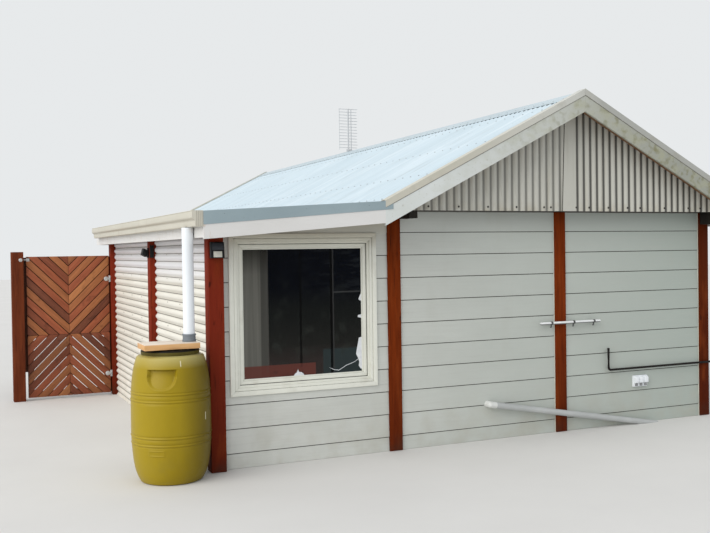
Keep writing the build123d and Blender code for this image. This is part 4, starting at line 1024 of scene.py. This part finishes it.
def tube(bm, points, radius, steps=16, index=0):
    """A round tube along a line of points, with closed ends."""
    points = [Vector(p) for p in points]
    last, cap = None, None
    for k, point in enumerate(points):
        place = turned_to(point, points[min(k + 1, len(points) - 1)] - points[max(k - 1, 0)])
        if last is None:
            made = bmesh.ops.create_circle(bm, cap_ends=True, segments=steps, radius=radius, matrix=place)
            cap = made["verts"][0].link_faces[0]
            cap.material_index = index
        else:
            made = bmesh.ops.extrude_face_region(bm, geom=[cap], use_keep_orig=k == 1)["geom"]
            ends = picked(made, BMVert)
            bmesh.ops.transform(bm, matrix=place @ last.inverted(), verts=ends)
            cap = picked(made, BMFace)[-1]
            mark({face for vert in ends for face in vert.link_faces}, index)
        last = place


conduit_y, conduit_x, conduit_z, bend_radius = front - 0.040, 0.580, 0.558, 0.028
bend = [(conduit_x + bend_radius * (1 - cos(radians(a))), conduit_y,
         conduit_z + bend_radius * (1 - sin(radians(a))))
        for a in range(0, 91, 15)]
bm = bmesh.new()
tube(bm, facing(conduit_y, (conduit_x, 0.773), (conduit_x, 0.70)) + bend +
     facing(conduit_y, (1.2, conduit_z), (1.9125, conduit_z)), 0.0109)
for x in (0.913, 1.579):
    box(bm, (x - 0.006, conduit_y - 0.0112, conduit_z - 0.006), (x + 0.006, front, conduit_z + 0.006), 0,
        0.001)
lathe(bm, [(0.0, 0.752), (0.0112, 0.752), (0.0118, 0.755), (0.0118, 0.772), (0.0105, 0.775), (0.0, 0.775)],
      (conduit_x, conduit_y, 0), 24)
finish("bent_conduit", bm, [dark_pipe], ("conduit",))
white_plastic = surface("socket_plastic", (0.86, 0.89, 0.92), (0.80, 0.83, 0.86), 8, rough=(0.28, 0.4))
socket_grey = surface("socket_grey", (0.30, 0.305, 0.31), (0.22, 0.225, 0.23), 8, rough=(0.35, 0.5))
low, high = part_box("socket_box")
third = (high.x - low.x) / 3
bm = bmesh.new()
box(bm, (low.x, low.y + 0.025, low.z), (high.x, high.y, high.z), 0, 0.006)
for k in range(3):
    x0, x1 = low.x + third * k + 0.004, low.x + third * (k + 1) - 0.004
    hood = [(x0, low.y + y, z) for y,
            z in ((0.001, low.z + 0.042), (0.001, high.z - 0.022), (0.016, high.z - 0.006),
                                            (0.027, high.z - 0.006), (0.027, low.z + 0.030))]
    prism(bm, hood, (x1 - x0, 0, 0), 0, 0.004)
    box(bm, (x0 + 0.012, low.y + 0.012, low.z + 0.008), (x1 - 0.012, low.y + 0.027, low.z + 0.034), 1, 0.003)
finish("socket_covers", bm, [white_plastic, socket_grey], ("socket_box",))
grey_pipe = surface("waste_plastic", (0.50, 0.515, 0.51), (0.43, 0.445, 0.44), 4, (1, 1, 2), (0.4, 0.55),
                    0.05)
bright_pipe = surface("elbow_plastic", (0.74, 0.75, 0.73), (0.66, 0.67, 0.65), 8, rough=(0.35, 0.5))
start, end = Vector((-0.809, front - 0.062, 0.334)), Vector((1.067, front - 0.062, 0.0))
fall = (end - start).normalized()
bm = bmesh.new()
tube(bm, [start, end + fall * 0.1], 0.0285, 24)
for share in (0.12, 0.62):
    socket = start.lerp(end, share)
    tube(bm, [socket, socket + fall * 0.05], 0.0298, 24)
tube(bm, [start - fall * 0.004, start + fall * 0.060], 0.0298, 24, 1)
lathe(bm,
      [(0.0, -0.0295), (0.012, -0.0272), (0.022, -0.0200), (0.0275, -0.0115), (0.0298, 0.0), (0.0298, 0.058),
           (0.033, 0.060), (0.033, 0.062)], start, 24, 1, (0, 1, 0))
cut = bmesh.ops.bisect_plane(bm, geom=bm.verts[:] + bm.edges[:] + bm.faces[:], plane_co=(0, 0, 0.0005),
                             plane_no=(0, 0, 1), clear_inner=True)
bmesh.ops.edgeloop_fill(bm, edges=picked(cut["geom_cut"], BMEdge))
finish("grey_waste_pipe", bm, [grey_pipe, bright_pipe], ("waste_pipe",))

# Lamps. A black sensor lamp on the corner post and a tilted black one on the left wall's post.
black = surface("lamp_black", (0.011, 0.0115, 0.0125), (0.007, 0.0075, 0.008), 10, rough=(0.45, 0.6),
                sheen=0.2)
lamp_lens = surface("lamp_lens", (0.035, 0.04, 0.05), (0.022, 0.026, 0.034), 30, (1, 1, 6), (0.15, 0.3), 0.3)
sensor = surface("lamp_sensor", (0.74, 0.74, 0.66), (0.62, 0.62, 0.55), 40, rough=(0.3, 0.4))
x0, y0, z0, lamp_height = -3.436, -4.204, 1.724, 0.1295
lens_slope = 0.016 / lamp_height
bm = bmesh.new()
body = [(x0, y0 + y, z0 + z) for y,
        z in ((0.006, 0), (0.0595, 0), (0.0595, lamp_height), (0.022, lamp_height))]
prism(bm, body, (0.112, 0, 0), 0, 0.006)
for left, right, low_z, high_z, index in ((0.020, 0.090, 0.008, 0.055, 2), (0.008, 0.104, 0.066, 0.120, 1)):
    panel = [(x0 + x, y0 + 0.0045 + lens_slope * z, z0 + z) for x, z in
             ((left, low_z), (right, low_z), (right, high_z), (left, high_z))]
    prism(bm, panel, (0, 0.003, 0), index, 0.0008)
low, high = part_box("lamps")
y0 = high.y - 0.100
box(bm, (post_side - 0.012, y0 + 0.020, z0 + 0.001), (post_side, y0 + 0.080, z0 + 0.102), 0, 0.003)
box(bm, (post_side - 0.032, y0 + 0.038, z0 + 0.036), (post_side - 0.010, y0 + 0.062, z0 + 0.060), 0, 0.003)
tilted = facing(y0 + 0.004, *[(low.x + x, z0 + z) for x, z in
                              ((0.014, 0.034), (0.062, 0.006), (0.080, 0.074), (0.034, 0.102))])
prism(bm, tilted, (0, 0.092, 0), 0, 0.007)
box(bm, (post_side - 0.002, -1.928, z0 + 0.001), (post_side + 0.040, -1.916, z0 + lamp_height), 0, 0.003)
finish("black_lamps", bm, [black, lamp_lens, sensor], ("lamps",))

# Aerial on the ridge. A mast and two thinner uprights carry fourteen level rods, over a small foot
# on the ridge cap.
aerial_metal = surface("aerial_metal", (0.62, 0.63, 0.64), (0.50, 0.51, 0.52), 30, rough=(0.4, 0.55))
aerial_y, aerial_foot, aerial_top = 0.784, 3.203, 3.813
bm = bmesh.new()
for x, radius, z0, z1, steps in ((0.0, 0.0105, aerial_foot, aerial_top, 12),
                                 (0.045, 0.006, aerial_foot + 0.03, aerial_top - 0.004, 12),
                                 (-0.138, 0.004, aerial_foot + 0.02, aerial_top - 0.004, 8)):
    lathe(bm, [(0.0, z0), (radius, z0), (radius, z1), (0.0, z1)], (x, aerial_y, 0), steps)
for k in range(14):
    z = aerial_top - 0.007 - 0.0425 * k
    reach = 0.0035 if k % 4 else 0.0
    tube(bm, [(-0.145 + reach, aerial_y, z), (0.145 - 3 * reach, aerial_y, z + 0.001)], 0.0038, 8)
box(bm, (-0.030, aerial_y - 0.0105, aerial_foot), (0.055, aerial_y + 0.0105, aerial_foot + 0.03), 0, 0.003)
finish("roof_aerial", bm, [aerial_metal], ("aerial",))
